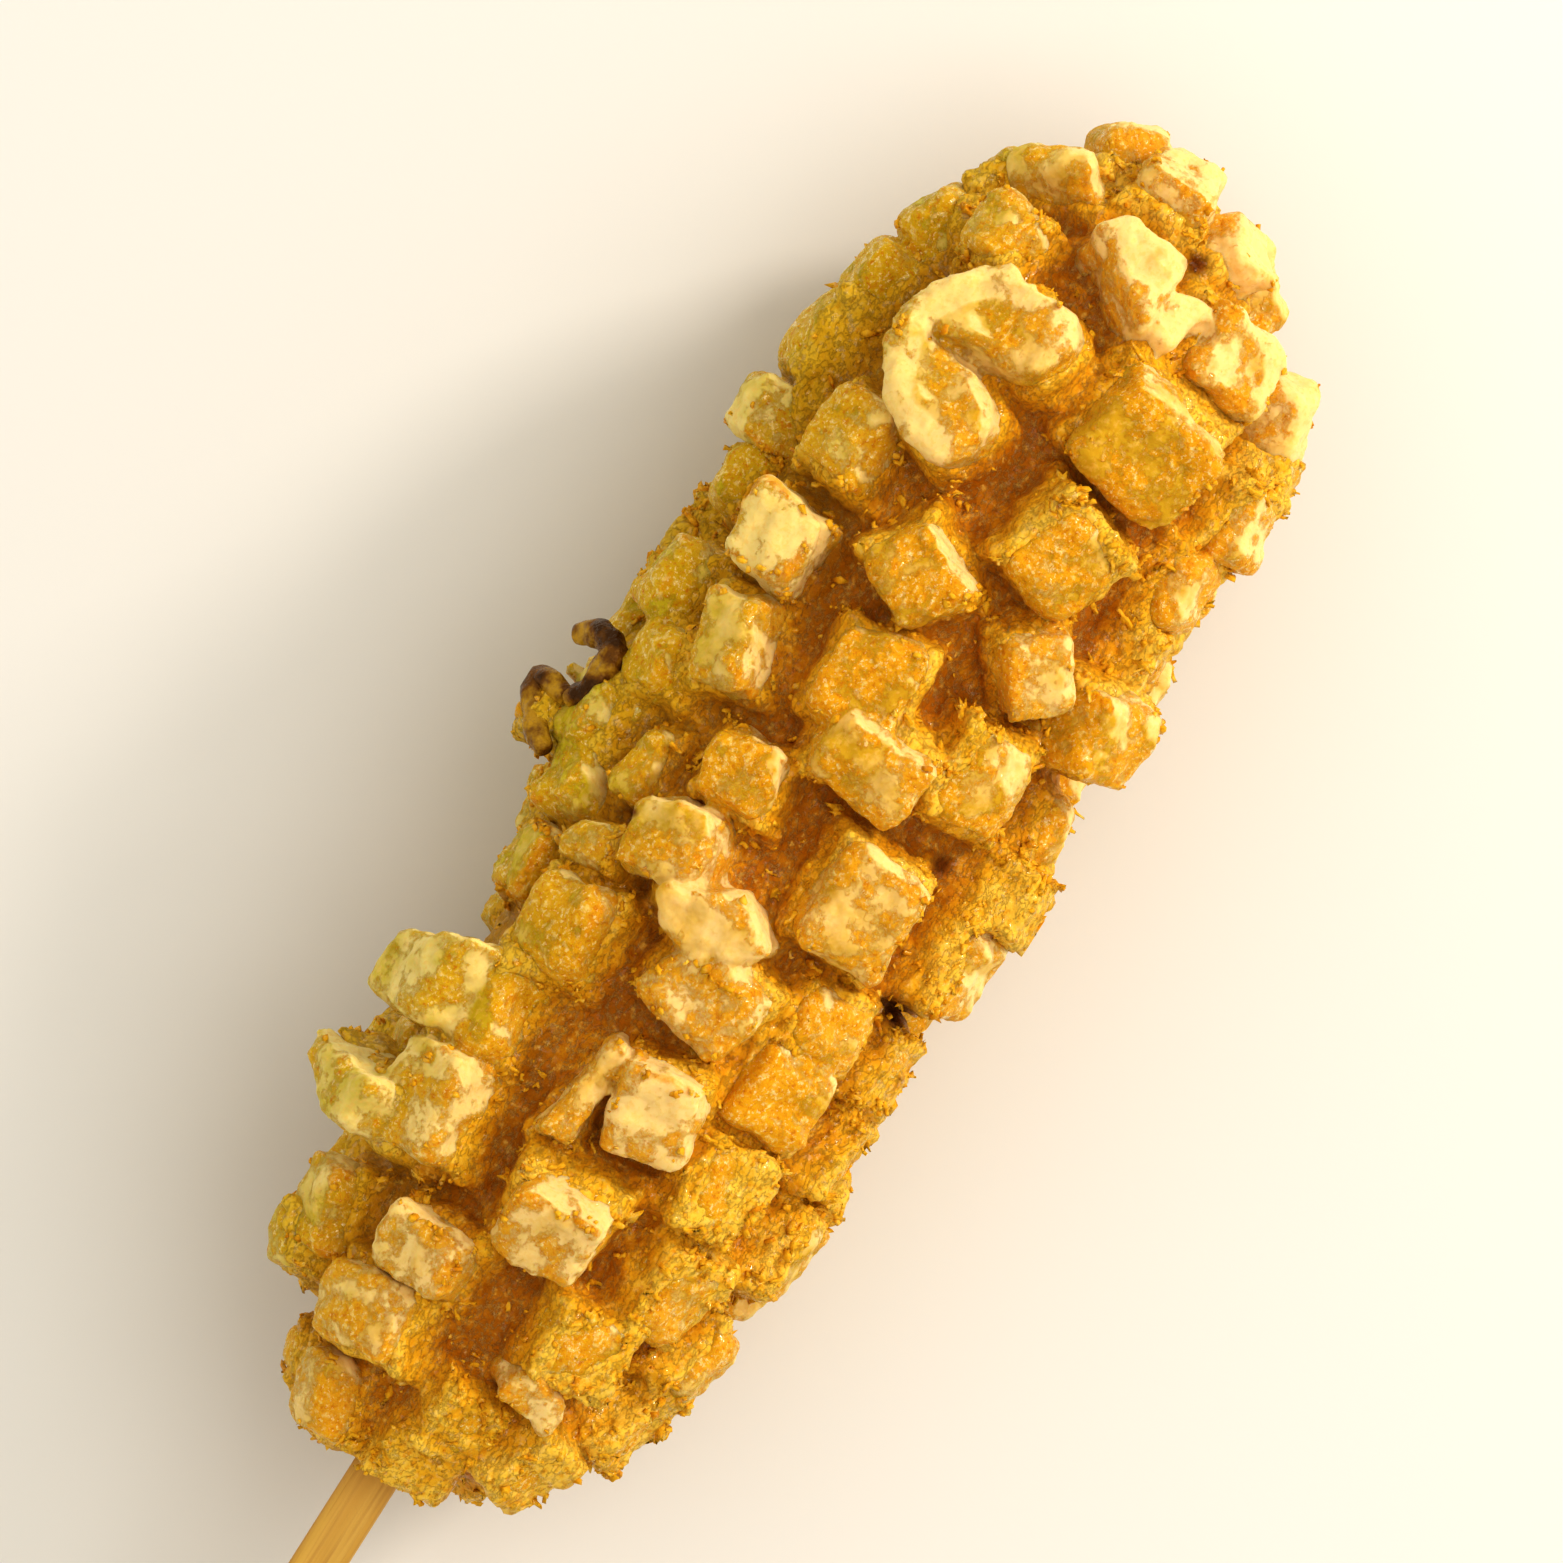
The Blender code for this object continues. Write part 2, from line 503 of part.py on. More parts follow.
def make_crust(outline):
    """The batter with its potato dice and burnt drip fused on, bored for the stick and flat underneath."""
    scene = bpy.context.scene.collection
    draw = random.Random(SEED)
    placed = list(placed_dice(outline))
    hidden = list(hidden_dice(outline, placed, draw))
    pieces = bpy.data.collections.new("dice")
    scene.children.link(pieces)
    for number, (frame, corners, rise, coat) in enumerate(placed + hidden):
        shape = die_shape(corners, rise, coat, draw, all_round=number < len(placed))
        frame.translation *= MM
        die = object_of(f"die_{number}", shape, pieces)
        die.matrix_world = frame
    for number, points in enumerate(BURNT_DRIPS):
        object_of(f"drip_{number}", drip_shape(points), pieces)
    crust = object_of("potato_crust", core_shape(outline), scene)
    bpy.context.view_layer.update()
    boolean(crust, "UNION", pieces, "MANIFOLD")

    cutters = bpy.data.collections.new("cutters")
    scene.children.link(cutters)
    wider = 2 * SOCKET_GAP
    socket = bar_shape(
        CORE_START - 15.0,
        STICK_TIP + SOCKET_GAP,
        STICK_WIDTH + wider,
        STICK_THICKNESS + wider,
        STICK_EDGE_ROUND + SOCKET_GAP,
    )
    object_of("socket", socket, cutters)
    object_of("table", table_shape(), cutters)
    bpy.context.view_layer.update()
    boolean(crust, "DIFFERENCE", cutters, "MANIFOLD")
    keep_outer_skin(crust)
    crust.data.materials.clear()
    crust.data.materials.append(material("fried potato and batter", CRUST_COLOUR, 0.45))
    return crust


def make_stick():
    shape = bar_shape(
        STICK_HANDLE_END, STICK_TIP, STICK_WIDTH, STICK_THICKNESS, STICK_EDGE_ROUND, STICK_END_ROUND
    )
    stick = object_of("stick", shape, bpy.context.scene.collection)
    stick.data.materials.append(material("pale wood", WOOD_COLOUR, 0.6))
    return stick


def centre_on_base(pieces):
    """Moves the meshes so that the middle of the whole box's base is the origin."""
    points = [vertex.co for piece in pieces for vertex in piece.data.vertices]
    low = Vector([min(point[k] for point in points) for k in range(3)])
    high = Vector([max(point[k] for point in points) for k in range(3)])
    base = Vector(((low.x + high.x) / 2, (low.y + high.y) / 2, low.z))
    for piece in pieces:
        piece.data.transform(Matrix.Translation(-base))


def main():
    clear_scene()
    outline = Outline()
    centre_on_base([make_crust(outline), make_stick()])


main()
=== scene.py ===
import bisect
import json
import math
import random

import bmesh
import bpy
import numpy as np
from mathutils import Matrix, Vector, noise

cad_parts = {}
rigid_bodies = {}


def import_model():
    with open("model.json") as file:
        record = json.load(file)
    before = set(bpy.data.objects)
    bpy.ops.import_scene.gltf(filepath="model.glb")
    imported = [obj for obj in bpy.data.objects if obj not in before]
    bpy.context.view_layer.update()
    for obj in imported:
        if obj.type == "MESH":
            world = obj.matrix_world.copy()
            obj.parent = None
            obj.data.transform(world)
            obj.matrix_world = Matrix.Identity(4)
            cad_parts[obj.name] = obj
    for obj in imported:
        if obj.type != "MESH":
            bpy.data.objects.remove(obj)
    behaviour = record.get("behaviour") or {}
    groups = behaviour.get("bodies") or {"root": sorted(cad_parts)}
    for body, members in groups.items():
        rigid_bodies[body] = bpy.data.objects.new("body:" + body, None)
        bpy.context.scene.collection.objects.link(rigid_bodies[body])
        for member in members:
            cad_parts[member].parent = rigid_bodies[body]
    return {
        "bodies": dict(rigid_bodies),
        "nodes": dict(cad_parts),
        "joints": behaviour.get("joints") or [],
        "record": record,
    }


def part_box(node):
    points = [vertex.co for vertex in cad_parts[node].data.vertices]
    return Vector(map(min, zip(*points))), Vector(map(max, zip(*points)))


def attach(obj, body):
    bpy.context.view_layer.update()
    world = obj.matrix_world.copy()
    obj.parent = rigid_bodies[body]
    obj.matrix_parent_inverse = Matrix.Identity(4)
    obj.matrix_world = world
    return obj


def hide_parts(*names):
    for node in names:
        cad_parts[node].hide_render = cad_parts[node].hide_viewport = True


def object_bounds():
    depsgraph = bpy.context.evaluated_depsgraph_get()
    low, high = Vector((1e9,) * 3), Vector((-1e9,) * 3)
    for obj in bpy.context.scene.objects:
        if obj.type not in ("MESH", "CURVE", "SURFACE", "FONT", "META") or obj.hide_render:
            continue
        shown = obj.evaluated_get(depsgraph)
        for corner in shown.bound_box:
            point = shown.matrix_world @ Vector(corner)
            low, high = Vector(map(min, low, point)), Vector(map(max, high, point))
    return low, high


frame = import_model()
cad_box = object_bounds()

# The batter: a long sausage dipped in thick dough, whose skin creeps up round each potato die pressed into
# it and sets in torn skirts as it fries. It is built in millimetres along the stick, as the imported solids
# are, and moved onto them once it is finished.
MM = 0.001
CORE_START, CORE_END = 5.0, 153.0
CORE_RADIUS = 18.8
STICK_END_BLUNTNESS, TIP_BLUNTNESS = 3.0, 5.0
CORE_RINGS, CORE_SIDES = 90, 80
CORE_LUMP, CORE_LUMP_SIZE = 0.7, 14.0
AXIS_HEIGHT = 24.8
STICK_HANDLE_END, STICK_OFF_CENTRE = -92.0, -0.4
stick_low, stick_high = (Vector(corner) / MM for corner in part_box("stick"))
TO_ROW = Matrix.Diagonal((MM, MM, MM, 1.0)) @ Matrix.Translation(
    (
        stick_low.x - STICK_HANDLE_END,
        (stick_low.y + stick_high.y) / 2 - STICK_OFF_CENTRE,
        (stick_low.z + stick_high.z) / 2 - AXIS_HEIGHT,
    )
)

# The dice pressed into its shown side: distance along the food and off its centre line, length, width,
# rise, turn, lean towards the tip and round towards +Y, wedge, how thickly batter coats it, and how pale
# it stayed.
TOP_DICE = (
    (9.3, 8.0, 9.0, 8.5, 5.0, 0, 18, 0, 0.1, 0.4, 0.65),
    (18.8, 8.6, 8.6, 11.5, 6.8, 4, 0, 0, 0.0, 0.5, 0.75),
    (26.7, 6.9, 7.7, 9.8, 6.3, -3, 0, 0, 0.0, 0.3, 0.85),
    (25.6, 17.2, 9.5, 8.0, 6.6, -6, 0, -6, 0.1, 0.2, 0.6),
    (21.0, 17.6, 6.2, 8.0, 8.0, 12, 0, 0, 0.0, 0.5, 0.5),
    (8.4, -3.0, 6.4, 9.0, 4.0, 0, 0, 0, 0.1, 1.0, 0.3),
    (14.0, -4.5, 8.0, 7.0, 5.0, 0, 0, 0, 0.0, 0.9, 0.3),
    (14.6, -11.9, 8.6, 8.2, 6.4, -6, 0, 0, 0.1, 0.9, 0.35),
    (20.6, -9.0, 4.8, 8.4, 6.5, -10, 0, 8, 0.2, 0.1, 0.9),
    (27.0, -10.6, 9.0, 9.0, 6.5, 10, 0, 6, 0.0, 0.7, 0.4),
    (23.0, -18.4, 9.0, 8.5, 6.8, -12, 0, 6, 0.1, 0.9, 0.4),
    (35.8, -2.0, 9.0, 11.0, 7.6, 2, -24, 0, 0.0, 0.2, 0.8),
    (39.6, 14.0, 11.6, 9.8, 8.0, 5, 0, 0, 0.0, 0.2, 0.85),
    (42.0, 20.2, 8.0, 8.0, 4.2, 0, 0, 0, 0.1, 0.5, 0.4),
    (36.0, -15.0, 10.0, 8.5, 6.5, 5, 0, 8, 0.0, 0.8, 0.4),
    (31.8, -22.2, 9.0, 9.0, 8.2, -8, 0, 6, 0.1, 0.5, 0.5),
    (44.8, -21.4, 10.0, 9.0, 7.6, -6, 0, 4, 0.1, 0.5, 0.4),
    (47.5, -13.4, 10.0, 8.5, 6.0, 0, 0, 8, 0.0, 0.9, 0.4),
    (50.5, -4.6, 10.0, 9.0, 8.0, 15, -12, 10, 0.0, 0.1, 0.95),
    (48.8, 2.3, 13.2, 5.0, 6.5, -5, 0, -8, 0.4, 0.1, 0.7),
    (50.5, 14.3, 10.0, 8.5, 7.2, 8, 0, 0, 0.0, 0.4, 0.35),
    (61.2, 12.4, 10.8, 9.8, 7.2, 3, 0, 0, 0.0, 0.5, 0.4),
    (64.8, 18.8, 8.5, 8.5, 3.8, 0, 0, 0, 0.0, 0.2, 0.3),
    (69.6, 14.2, 4.6, 7.0, 6.5, 10, 0, 0, 0.2, 0.4, 0.6),
    (63.4, -2.6, 9.8, 11.4, 7.6, -15, -6, 4, 0.0, 0.2, 0.7),
    (74.4, 8.0, 8.0, 10.5, 8.6, 12, -6, 0, 0.1, 0.1, 0.5),
    (83.6, 5.8, 8.0, 8.5, 7.4, 5, 0, 0, 0.0, 0.4, 0.3),
    (74.6, 19.4, 8.5, 8.0, 6.2, 20, 0, 0, 0.4, 0.2, 0.3),
    (79.0, 14.3, 9.0, 5.0, 4.5, 0, 0, 0, 0.2, 0.2, 0.3),
    (81.0, 20.8, 9.0, 8.0, 7.0, 0, 0, 0, 0.0, 0.2, 0.5),
    (78.2, 23.4, 5.5, 7.0, 9.0, 8, 0, 0, 0.2, 0.9, 0.5),
    (83.0, 24.4, 2.6, 4.0, 8.6, 0, 0, 0, 0.3, 0.3, 0.7),
    (77.4, 27.0, 2.4, 2.4, 10.4, 0, 0, 0, 0.0, 0.9, 0.3),
    (88.5, 18.5, 7.5, 8.5, 6.6, 10, 0, 0, 0.0, 0.6, 0.25),
    (96.0, 20.8, 9.5, 8.5, 7.4, -5, 0, 0, 0.1, 0.5, 0.35),
    (94.0, 13.5, 10.5, 7.4, 7.2, 16, -6, -6, 0.0, 0.2, 0.5),
    (105.2, 15.4, 9.0, 8.8, 8.4, -5, 0, -24, 0.0, 0.0, 1),
    (108.0, 21.6, 8.0, 8.0, 5.8, 10, 0, 0, 0.0, 0.5, 0.3),
    (115.2, 22.4, 7.0, 8.0, 8.2, 0, 0, 0, 0.1, 0.1, 0.7),
    (117.6, 14.4, 10.0, 9.0, 7.6, 0, 0, -6, 0.0, 0.3, 0.4),
    (98.0, 0.4, 11.0, 10.0, 6.8, 6, 0, 0, 0.0, 0.4, 0.1),
    (91.2, -4.2, 9.2, 11.8, 8.0, -5, -20, 0, 0.0, 0.3, 0.45),
    (109.6, 2.0, 8.6, 9.6, 7.8, -32, -8, 0, 0.0, 0.2, 0.35),
    (78.4, -10.4, 12.0, 10.5, 8.6, 0, -8, 8, 0.0, 0.2, 0.6),
    (58.3, -13.6, 10.2, 9.8, 6.6, 0, 0, 8, 0.0, 0.6, 0.3),
    (67.0, -14.2, 7.8, 9.2, 6.4, 5, 0, 8, 0.0, 0.7, 0.35),
    (56.2, -20.8, 9.0, 8.0, 5.4, 0, 0, 0, 0.0, 0.8, 0.4),
    (66.0, -20.6, 8.5, 8.0, 5.4, 0, 0, 0, 0.1, 0.9, 0.35),
    (78.6, -21.4, 10.5, 9.0, 7.8, 0, 0, 6, 0.0, 0.5, 0.55),
    (87.0, -22.2, 7.5, 8.5, 8.6, 0, 0, 0, 0.0, 0.7, 0.4),
    (95.4, -13.8, 10.8, 10.2, 7.0, 3, 0, 8, 0.0, 0.5, 0.35),
    (94.6, -21.2, 8.5, 8.0, 6.0, 5, 0, 0, 0.1, 0.6, 0.3),
    (107.8, -12.6, 9.2, 7.6, 7.0, 40, -8, 8, 0.0, 0.2, 0.6),
    (105.8, -20.6, 9.6, 10.6, 9.8, 8, 0, 8, 0.0, 0.3, 0.3),
    (114.4, -20.4, 6.0, 7.5, 6.4, 0, 0, 0, 0.0, 0.9, 0.4),
    (118.4, -9.0, 10.4, 10.8, 7.8, -14, -8, 8, 0.0, 0.5, 0.35),
    (121.8, -20.2, 9.6, 8.5, 7.2, 0, 0, 6, 0.0, 0.7, 0.5),
    (132.4, -10.2, 11.6, 13.8, 9.2, -8, -28, 10, 0.0, 0.0, 0.15),
    (130.6, -20.8, 8.6, 8.8, 8.8, 0, 0, 6, 0.0, 0.5, 0.55),
    (136.8, -22.4, 3.6, 5.0, 9.4, 0, 0, 0, 0.1, 0.9, 0.4),
    (141.2, -20.6, 9.4, 7.6, 9.0, 20, -6, 8, 0.1, 0.1, 0.85),
    (143.8, -12.4, 8.6, 9.8, 8.4, -10, -14, 8, 0.0, 0.2, 0.7),
    (124.6, 22.0, 10.5, 8.5, 7.6, 0, 0, 0, 0.0, 0.6, 0.2),
    (132.4, 20.6, 8.6, 8.5, 7.4, 0, 0, 0, 0.0, 0.4, 0.2),
    (140.6, 18.4, 8.6, 8.0, 7.2, -12, 0, 0, 0.1, 0.4, 0.3),
    (142.2, 12.6, 7.4, 7.6, 7.6, 0, 0, 0, 0.0, 0.4, 0.5),
    (148.0, 16.4, 7.5, 6.0, 7.0, -25, 0, 0, 0.1, 0.6, 0.35),
    (150.2, 11.2, 4.4, 11.5, 7.0, 32, 0, 0, 0.2, 0.2, 0.55),
    (155.8, 8.6, 8.0, 8.5, 8.0, 0, 0, 0, 0.1, 0.3, 0.6),
    (154.8, 0.4, 8.0, 8.5, 7.2, 0, 0, 0, 0.1, 0.2, 0.85),
    (153.0, -7.4, 7.5, 8.0, 6.6, -10, 0, 0, 0.1, 0.1, 0.85),
)

# Pieces cut less squarely, each as its rise, coat, paleness, the same leans and its face's outline: two
# flaps that stand up at the edge, a diamond, the pair with one arched rim, and the slab and the wedge
# near the tip.
CUT_PIECES = (
    (12.0, 0.2, 0.6, 0, 0, ((31.6, 21.5), (38.2, 21.0), (40.0, 29.0), (36.4, 27.4), (32.2, 24.8))),
    (11.0, 0.1, 0.65, 0, 0, ((45.0, 21.0), (56.8, 20.0), (52.2, 27.2), (44.4, 28.2))),
    (
        9.0,
        0.1,
        0.65,
        -6,
        0,
        ((65.2, 2.6), (67.4, -3.6), (70.4, -6.2), (74.0, -1.0), (71.4, 7.8), (68.4, 6.6)),
    ),
    (
        8.0,
        0.2,
        0.55,
        0,
        -6,
        ((119.4, 7.6), (121.4, 5.0), (126.6, 4.4), (129.8, 8.0), (130.4, 16.6), (125.8, 15.8), (121.2, 12.4)),
    ),
    (
        8.2,
        0.2,
        0.55,
        0,
        -4,
        ((130.8, 7.2), (132.8, 2.0), (137.0, 0.8), (140.4, 4.0), (140.4, 10.0), (137.0, 14.6), (130.9, 16.6)),
    ),
    (7.4, 0.0, 0.9, 0, 0, ((140.8, -4.4), (150.2, -4.2), (152.0, 4.0), (148.6, 6.6))),
    (6.8, 0.0, 0.85, 0, 0, ((140.4, -6.6), (148.4, -10.6), (148.4, -5.2), (141.4, -4.4))),
)

# The dice of the back and underside keep to rings, clear of one another and of these bare spots, each given
# as its distance along the food, its degrees round from the top towards +Y, and its size.
BARE_SPOTS = (
    (4.0, 70, 9.0),
    (4.0, -70, 8.0),
    (30.0, 84, 7.0),
    (41.5, 86, 5.0),
    (57.5, 86, 9.5),
    (69.5, 86, 6.0),
    (102.0, 86, 5.0),
    (50.5, -86, 5.0),
    (70.0, -86, 7.0),
    (98.5, -86, 5.0),
    (150.0, -80, 6.0),
)
FIRST_RING, RING_PITCH, ROUND_PITCH = 13.0, 9.8, 10.2
LEAST_GAP = 8.2
TOP_ARC_DEG, EDGE_ARC_DEG = 62.0, 112.0
HIDDEN_LENGTH, HIDDEN_WIDTH, HIDDEN_RISE = (8.0, 11.0), (7.5, 10.0), (6.2, 8.0)
EDGE_SHARE, STICK_END_SHARE, STICK_END_LENGTH = 0.85, 0.7, 24.0
HIDDEN_TURN_DEG = 24.0
HIDDEN_WEDGE_SHARE, HIDDEN_WEDGE, SQUARE_WEDGE = 0.15, 0.5, 0.05
HIDDEN_JITTER = 0.12
HIDDEN_PALE_LEAST, HIDDEN_PALE_SPAN = 0.2, 0.5
COAT_RANGE = (0.0, 0.8)
GOLDEN_STEP = 0.618034
SEED = 11
DIE_DEPTH, DIE_CORNER_SHIFT, DIE_TOP_SHARE = 3.5, 0.55, 0.94
FLATTEST_CUT = 0.35


class Outline:
    """The sausage's outline from the stick end to the tip, measured by length along its curve."""

    STEPS = 600
    HALVINGS = 40
    FURTHEST_ROUND = 0.985

    def __init__(self):
        middle, half = (CORE_START + CORE_END) / 2, (CORE_END - CORE_START) / 2
        steps = [math.pi * k / self.STEPS for k in range(self.STEPS + 1)]
        self.along = [middle - half * math.cos(step) for step in steps]
        self.radius = [self.radius_at(along) for along in self.along]
        self.arc = [0.0]
        for k in range(self.STEPS):
            run, climb = self.along[k + 1] - self.along[k], self.radius[k + 1] - self.radius[k]
            self.arc.append(self.arc[-1] + math.hypot(run, climb))
        self.length = self.arc[-1]

    @staticmethod
    def radius_at(along):
        middle, half = (CORE_START + CORE_END) / 2, (CORE_END - CORE_START) / 2
        off = (along - middle) / half
        power = TIP_BLUNTNESS if off > 0 else STICK_END_BLUNTNESS
        return CORE_RADIUS * math.sqrt(max(0.0, 1.0 - abs(off) ** power))

    def at(self, arc):
        """(distance along, radius, and the outward normal's part along the food and away from its axis)."""
        k = min(max(bisect.bisect(self.arc, arc), 1), self.STEPS)
        share = (arc - self.arc[k - 1]) / (self.arc[k] - self.arc[k - 1])
        run, climb = self.along[k] - self.along[k - 1], self.radius[k] - self.radius[k - 1]
        length = math.hypot(run, climb)
        there = self.along[k - 1] + share * run, self.radius[k - 1] + share * climb
        return (*there, -climb / length, run / length)

    def seat_under(self, along, off_centre, lift):
        """(arc, angle) of the spot whose normal, followed for lift, ends at this place as seen from above."""
        low, high = 0.0, self.length
        for _ in range(self.HALVINGS):
            arc = (low + high) / 2
            there, _, lean, _ = self.at(arc)
            if there + lean * lift < along:
                low = arc
            else:
                high = arc
        _, radius, _, out = self.at(low)
        reach = radius + out * lift
        across = off_centre / max(reach, 0.1)
        return low, math.asin(max(-self.FURTHEST_ROUND, min(self.FURTHEST_ROUND, across)))


def seat_frame(arc, angle):
    """A spot on the sausage as a matrix: its X runs along the food, Y round it and Z outwards."""
    along, radius, lean, out = outline.at(arc)
    side, up = math.sin(angle), math.cos(angle)
    along_food, round_food = Vector((out, -lean * side, -lean * up)), Vector((0.0, up, -side))
    outwards = Vector((lean, out * side, out * up))
    seat = Matrix((along_food, round_food, outwards)).transposed().to_4x4()
    seat.translation = Vector((along, radius * side, AXIS_HEIGHT + radius * up))
    return seat


def die_frame(seat, rise, turn, lean_tip, lean_side):
    """The seat's matrix turned about its own Z and leant about the die's middle."""
    middle = Matrix.Translation((0.0, 0.0, rise / 2))
    lean = Matrix.Rotation(math.radians(lean_tip), 4, "Y") @ Matrix.Rotation(math.radians(-lean_side), 4, "X")
    return seat @ middle @ lean @ middle.inverted() @ Matrix.Rotation(math.radians(turn), 4, "Z")


def box_outline(length, width, wedge):
    far = width * (1.0 - wedge) / 2
    return ((-length / 2, -width / 2), (length / 2, -far), (length / 2, far), (-length / 2, width / 2))


def placed_dice():
    """The shown side's dice, each as (matrix, outline, rise, coat, paleness)."""
    for along, off_centre, length, width, rise, turn, lean_tip, lean_side, wedge, coat, pale in TOP_DICE:
        seat = seat_frame(*outline.seat_under(along, off_centre, rise / 2))
        frame = die_frame(seat, rise, turn, lean_tip, lean_side)
        yield frame, box_outline(length, width, wedge), rise, coat, pale
    for rise, coat, pale, lean_tip, lean_side, corners in CUT_PIECES:
        along = sum(corner[0] for corner in corners) / len(corners)
        off_centre = sum(corner[1] for corner in corners) / len(corners)
        arc, angle = outline.seat_under(along, off_centre, rise)
        flat = max(math.cos(angle), FLATTEST_CUT)
        own = [(x - along, (y - off_centre) / flat) for x, y in corners]
        yield die_frame(seat_frame(arc, angle), rise, 0, lean_tip, lean_side), own, rise, coat, pale


def hidden_dice(placed, draw):
    """The back's dice, in rings a pitch apart, where no other die or bare spot is in the way."""
    centres = [frame @ Vector((0.0, 0.0, rise / 2)) for frame, _, rise, _, _ in placed]
    bare = []
    for along, degrees, size in BARE_SPOTS:
        side, up = math.sin(math.radians(degrees)), math.cos(math.radians(degrees))
        bare.append((Vector((along, CORE_RADIUS * side, AXIS_HEIGHT + CORE_RADIUS * up)), size))
    rings = round((outline.length - FIRST_RING) / RING_PITCH)
    for ring in range(rings + 1):
        arc = FIRST_RING + (outline.length - FIRST_RING) * ring / rings - 0.5 * (ring == rings)
        tapering = STICK_END_SHARE + (1.0 - STICK_END_SHARE) * min(1.0, (arc - FIRST_RING) / STICK_END_LENGTH)
        reach = outline.at(arc)[1] + HIDDEN_RISE[0] / 2
        count = max(3, round(2 * math.pi * reach / ROUND_PITCH))
        for step in range(count):
            offset = 0.5 * (ring % 2) + draw.uniform(-HIDDEN_JITTER, HIDDEN_JITTER)
            angle = math.remainder(math.pi + math.tau * (step + offset) / count, math.tau)
            length, width, rise = (draw.uniform(*span) for span in (HIDDEN_LENGTH, HIDDEN_WIDTH, HIDDEN_RISE))
            rise *= tapering * (EDGE_SHARE if abs(angle) < math.radians(EDGE_ARC_DEG) else 1.0)
            turn = draw.uniform(-HIDDEN_TURN_DEG, HIDDEN_TURN_DEG)
            wedge = HIDDEN_WEDGE if draw.random() < HIDDEN_WEDGE_SHARE else SQUARE_WEDGE
            coat = draw.uniform(*COAT_RANGE)
            frame = die_frame(seat_frame(arc, angle), rise, turn, 0, 0)
            centre = frame @ Vector((0.0, 0.0, rise / 2))
            if abs(angle) < math.radians(TOP_ARC_DEG) and ring != rings:
                continue
            if any((centre - spot).length < size for spot, size in bare):
                continue
            if min((centre - other).length for other in centres) < LEAST_GAP * tapering:
                continue
            centres.append(centre)
            pale = HIDDEN_PALE_LEAST + HIDDEN_PALE_SPAN * (len(centres) * GOLDEN_STEP % 1.0)
            yield frame, box_outline(length * tapering, width * tapering, wedge), rise, coat, pale


def rimmed_block(shape, frame, low, high, bottom, tops, shifts, ease):
    """Adds a block between a low and a high rim, its corners shifted and its edges eased, to a bmesh."""
    rims = []
    for corners, heights in ((low, [bottom] * len(low)), (high, tops)):
        rim = []
        for (x, y), height in zip(corners, heights):
            shift = next(shifts)
            spot = Vector((x + shift[0], y + shift[1], height + shift[2] * (height > 0)))
            rim.append(shape.verts.new(frame @ spot))
        rims.append(rim)
    low, high = rims
    faces = [shape.faces.new(high), shape.faces.new(low[::-1])]
    for k in range(len(low)):
        after = (k + 1) % len(low)
        faces.append(shape.faces.new([low[k], low[after], high[after], high[k]]))
    edges = {edge for face in faces for edge in face.edges}
    bmesh.ops.bevel(
        shape,
        geom=list(edges),
        offset=ease,
        segments=2,
        profile=0.5,
        affect="EDGES",
        clamp_overlap=True,
    )


def grown(corners, margin, share=1.0):
    """An outline moved outwards by a margin."""
    return [(share * x + math.copysign(margin, x), share * y + math.copysign(margin, y)) for x, y in corners]


def object_of(name, shape):
    mesh = bpy.data.meshes.new(name)
    shape.to_mesh(mesh)
    shape.free()
    made = bpy.data.objects.new(name, mesh)
    bpy.context.scene.collection.objects.link(made)
    return made


def node(tree, kind, inputs=None, **settings):
    """A node with its settings, and each input given as another node's socket or as a value."""
    made = tree.nodes.new(kind)
    for name, value in settings.items():
        setattr(made, name, value)
    for key, value in (inputs or {}).items():
        if isinstance(value, bpy.types.NodeSocket):
            tree.links.new(value, made.inputs[key])
        else:
            made.inputs[key].default_value = value
    return made


def sums(tree, operation, *values, clamp=False):
    made = node(tree, "ShaderNodeMath", dict(enumerate(values)), operation=operation, use_clamp=clamp)
    return made.outputs[0]


def geometry_tree(name, sizes):
    """A geometry tree with named sizes, as (tree, inputs' node, output's node, name to identifier)."""
    tree = bpy.data.node_groups.new(name, "GeometryNodeTree")
    tree.interface.new_socket(name="Geometry", in_out="INPUT", socket_type="NodeSocketGeometry")
    tree.interface.new_socket(name="Geometry", in_out="OUTPUT", socket_type="NodeSocketGeometry")
    keys = {}
    for size in sizes:
        socket = tree.interface.new_socket(name=size, in_out="INPUT", socket_type="NodeSocketFloat")
        keys[size] = socket.identifier
    return tree, tree.nodes.new("NodeGroupInput"), tree.nodes.new("NodeGroupOutput"), keys


def named_field(tree, name):
    """A field kept on a mesh, as a geometry tree reads it."""
    return node(tree, "GeometryNodeInputNamedAttribute", {"Name": name}, data_type="FLOAT").outputs[0]


def grow(piece, tree, keys, sizes):
    """Puts a geometry tree with its sizes on a piece."""
    modifier = piece.modifiers.new(tree.name, "NODES")
    modifier.node_group = tree
    for name, value in sizes.items():
        modifier[keys[name]] = value


def settle(piece):
    """Turns a piece and its modifiers into a plain mesh."""
    graph = bpy.context.evaluated_depsgraph_get()
    mesh = bpy.data.meshes.new_from_object(piece.evaluated_get(graph))
    piece.modifiers.clear()
    piece.data = mesh


def thin_out(piece, triangles):
    """Merges the flattest faces until a piece has no more than so many triangles."""
    count = sum(len(face.vertices) - 2 for face in piece.data.polygons)
    if count > triangles:
        piece.modifiers.new("thin", "DECIMATE").ratio = triangles / count
        settle(piece)


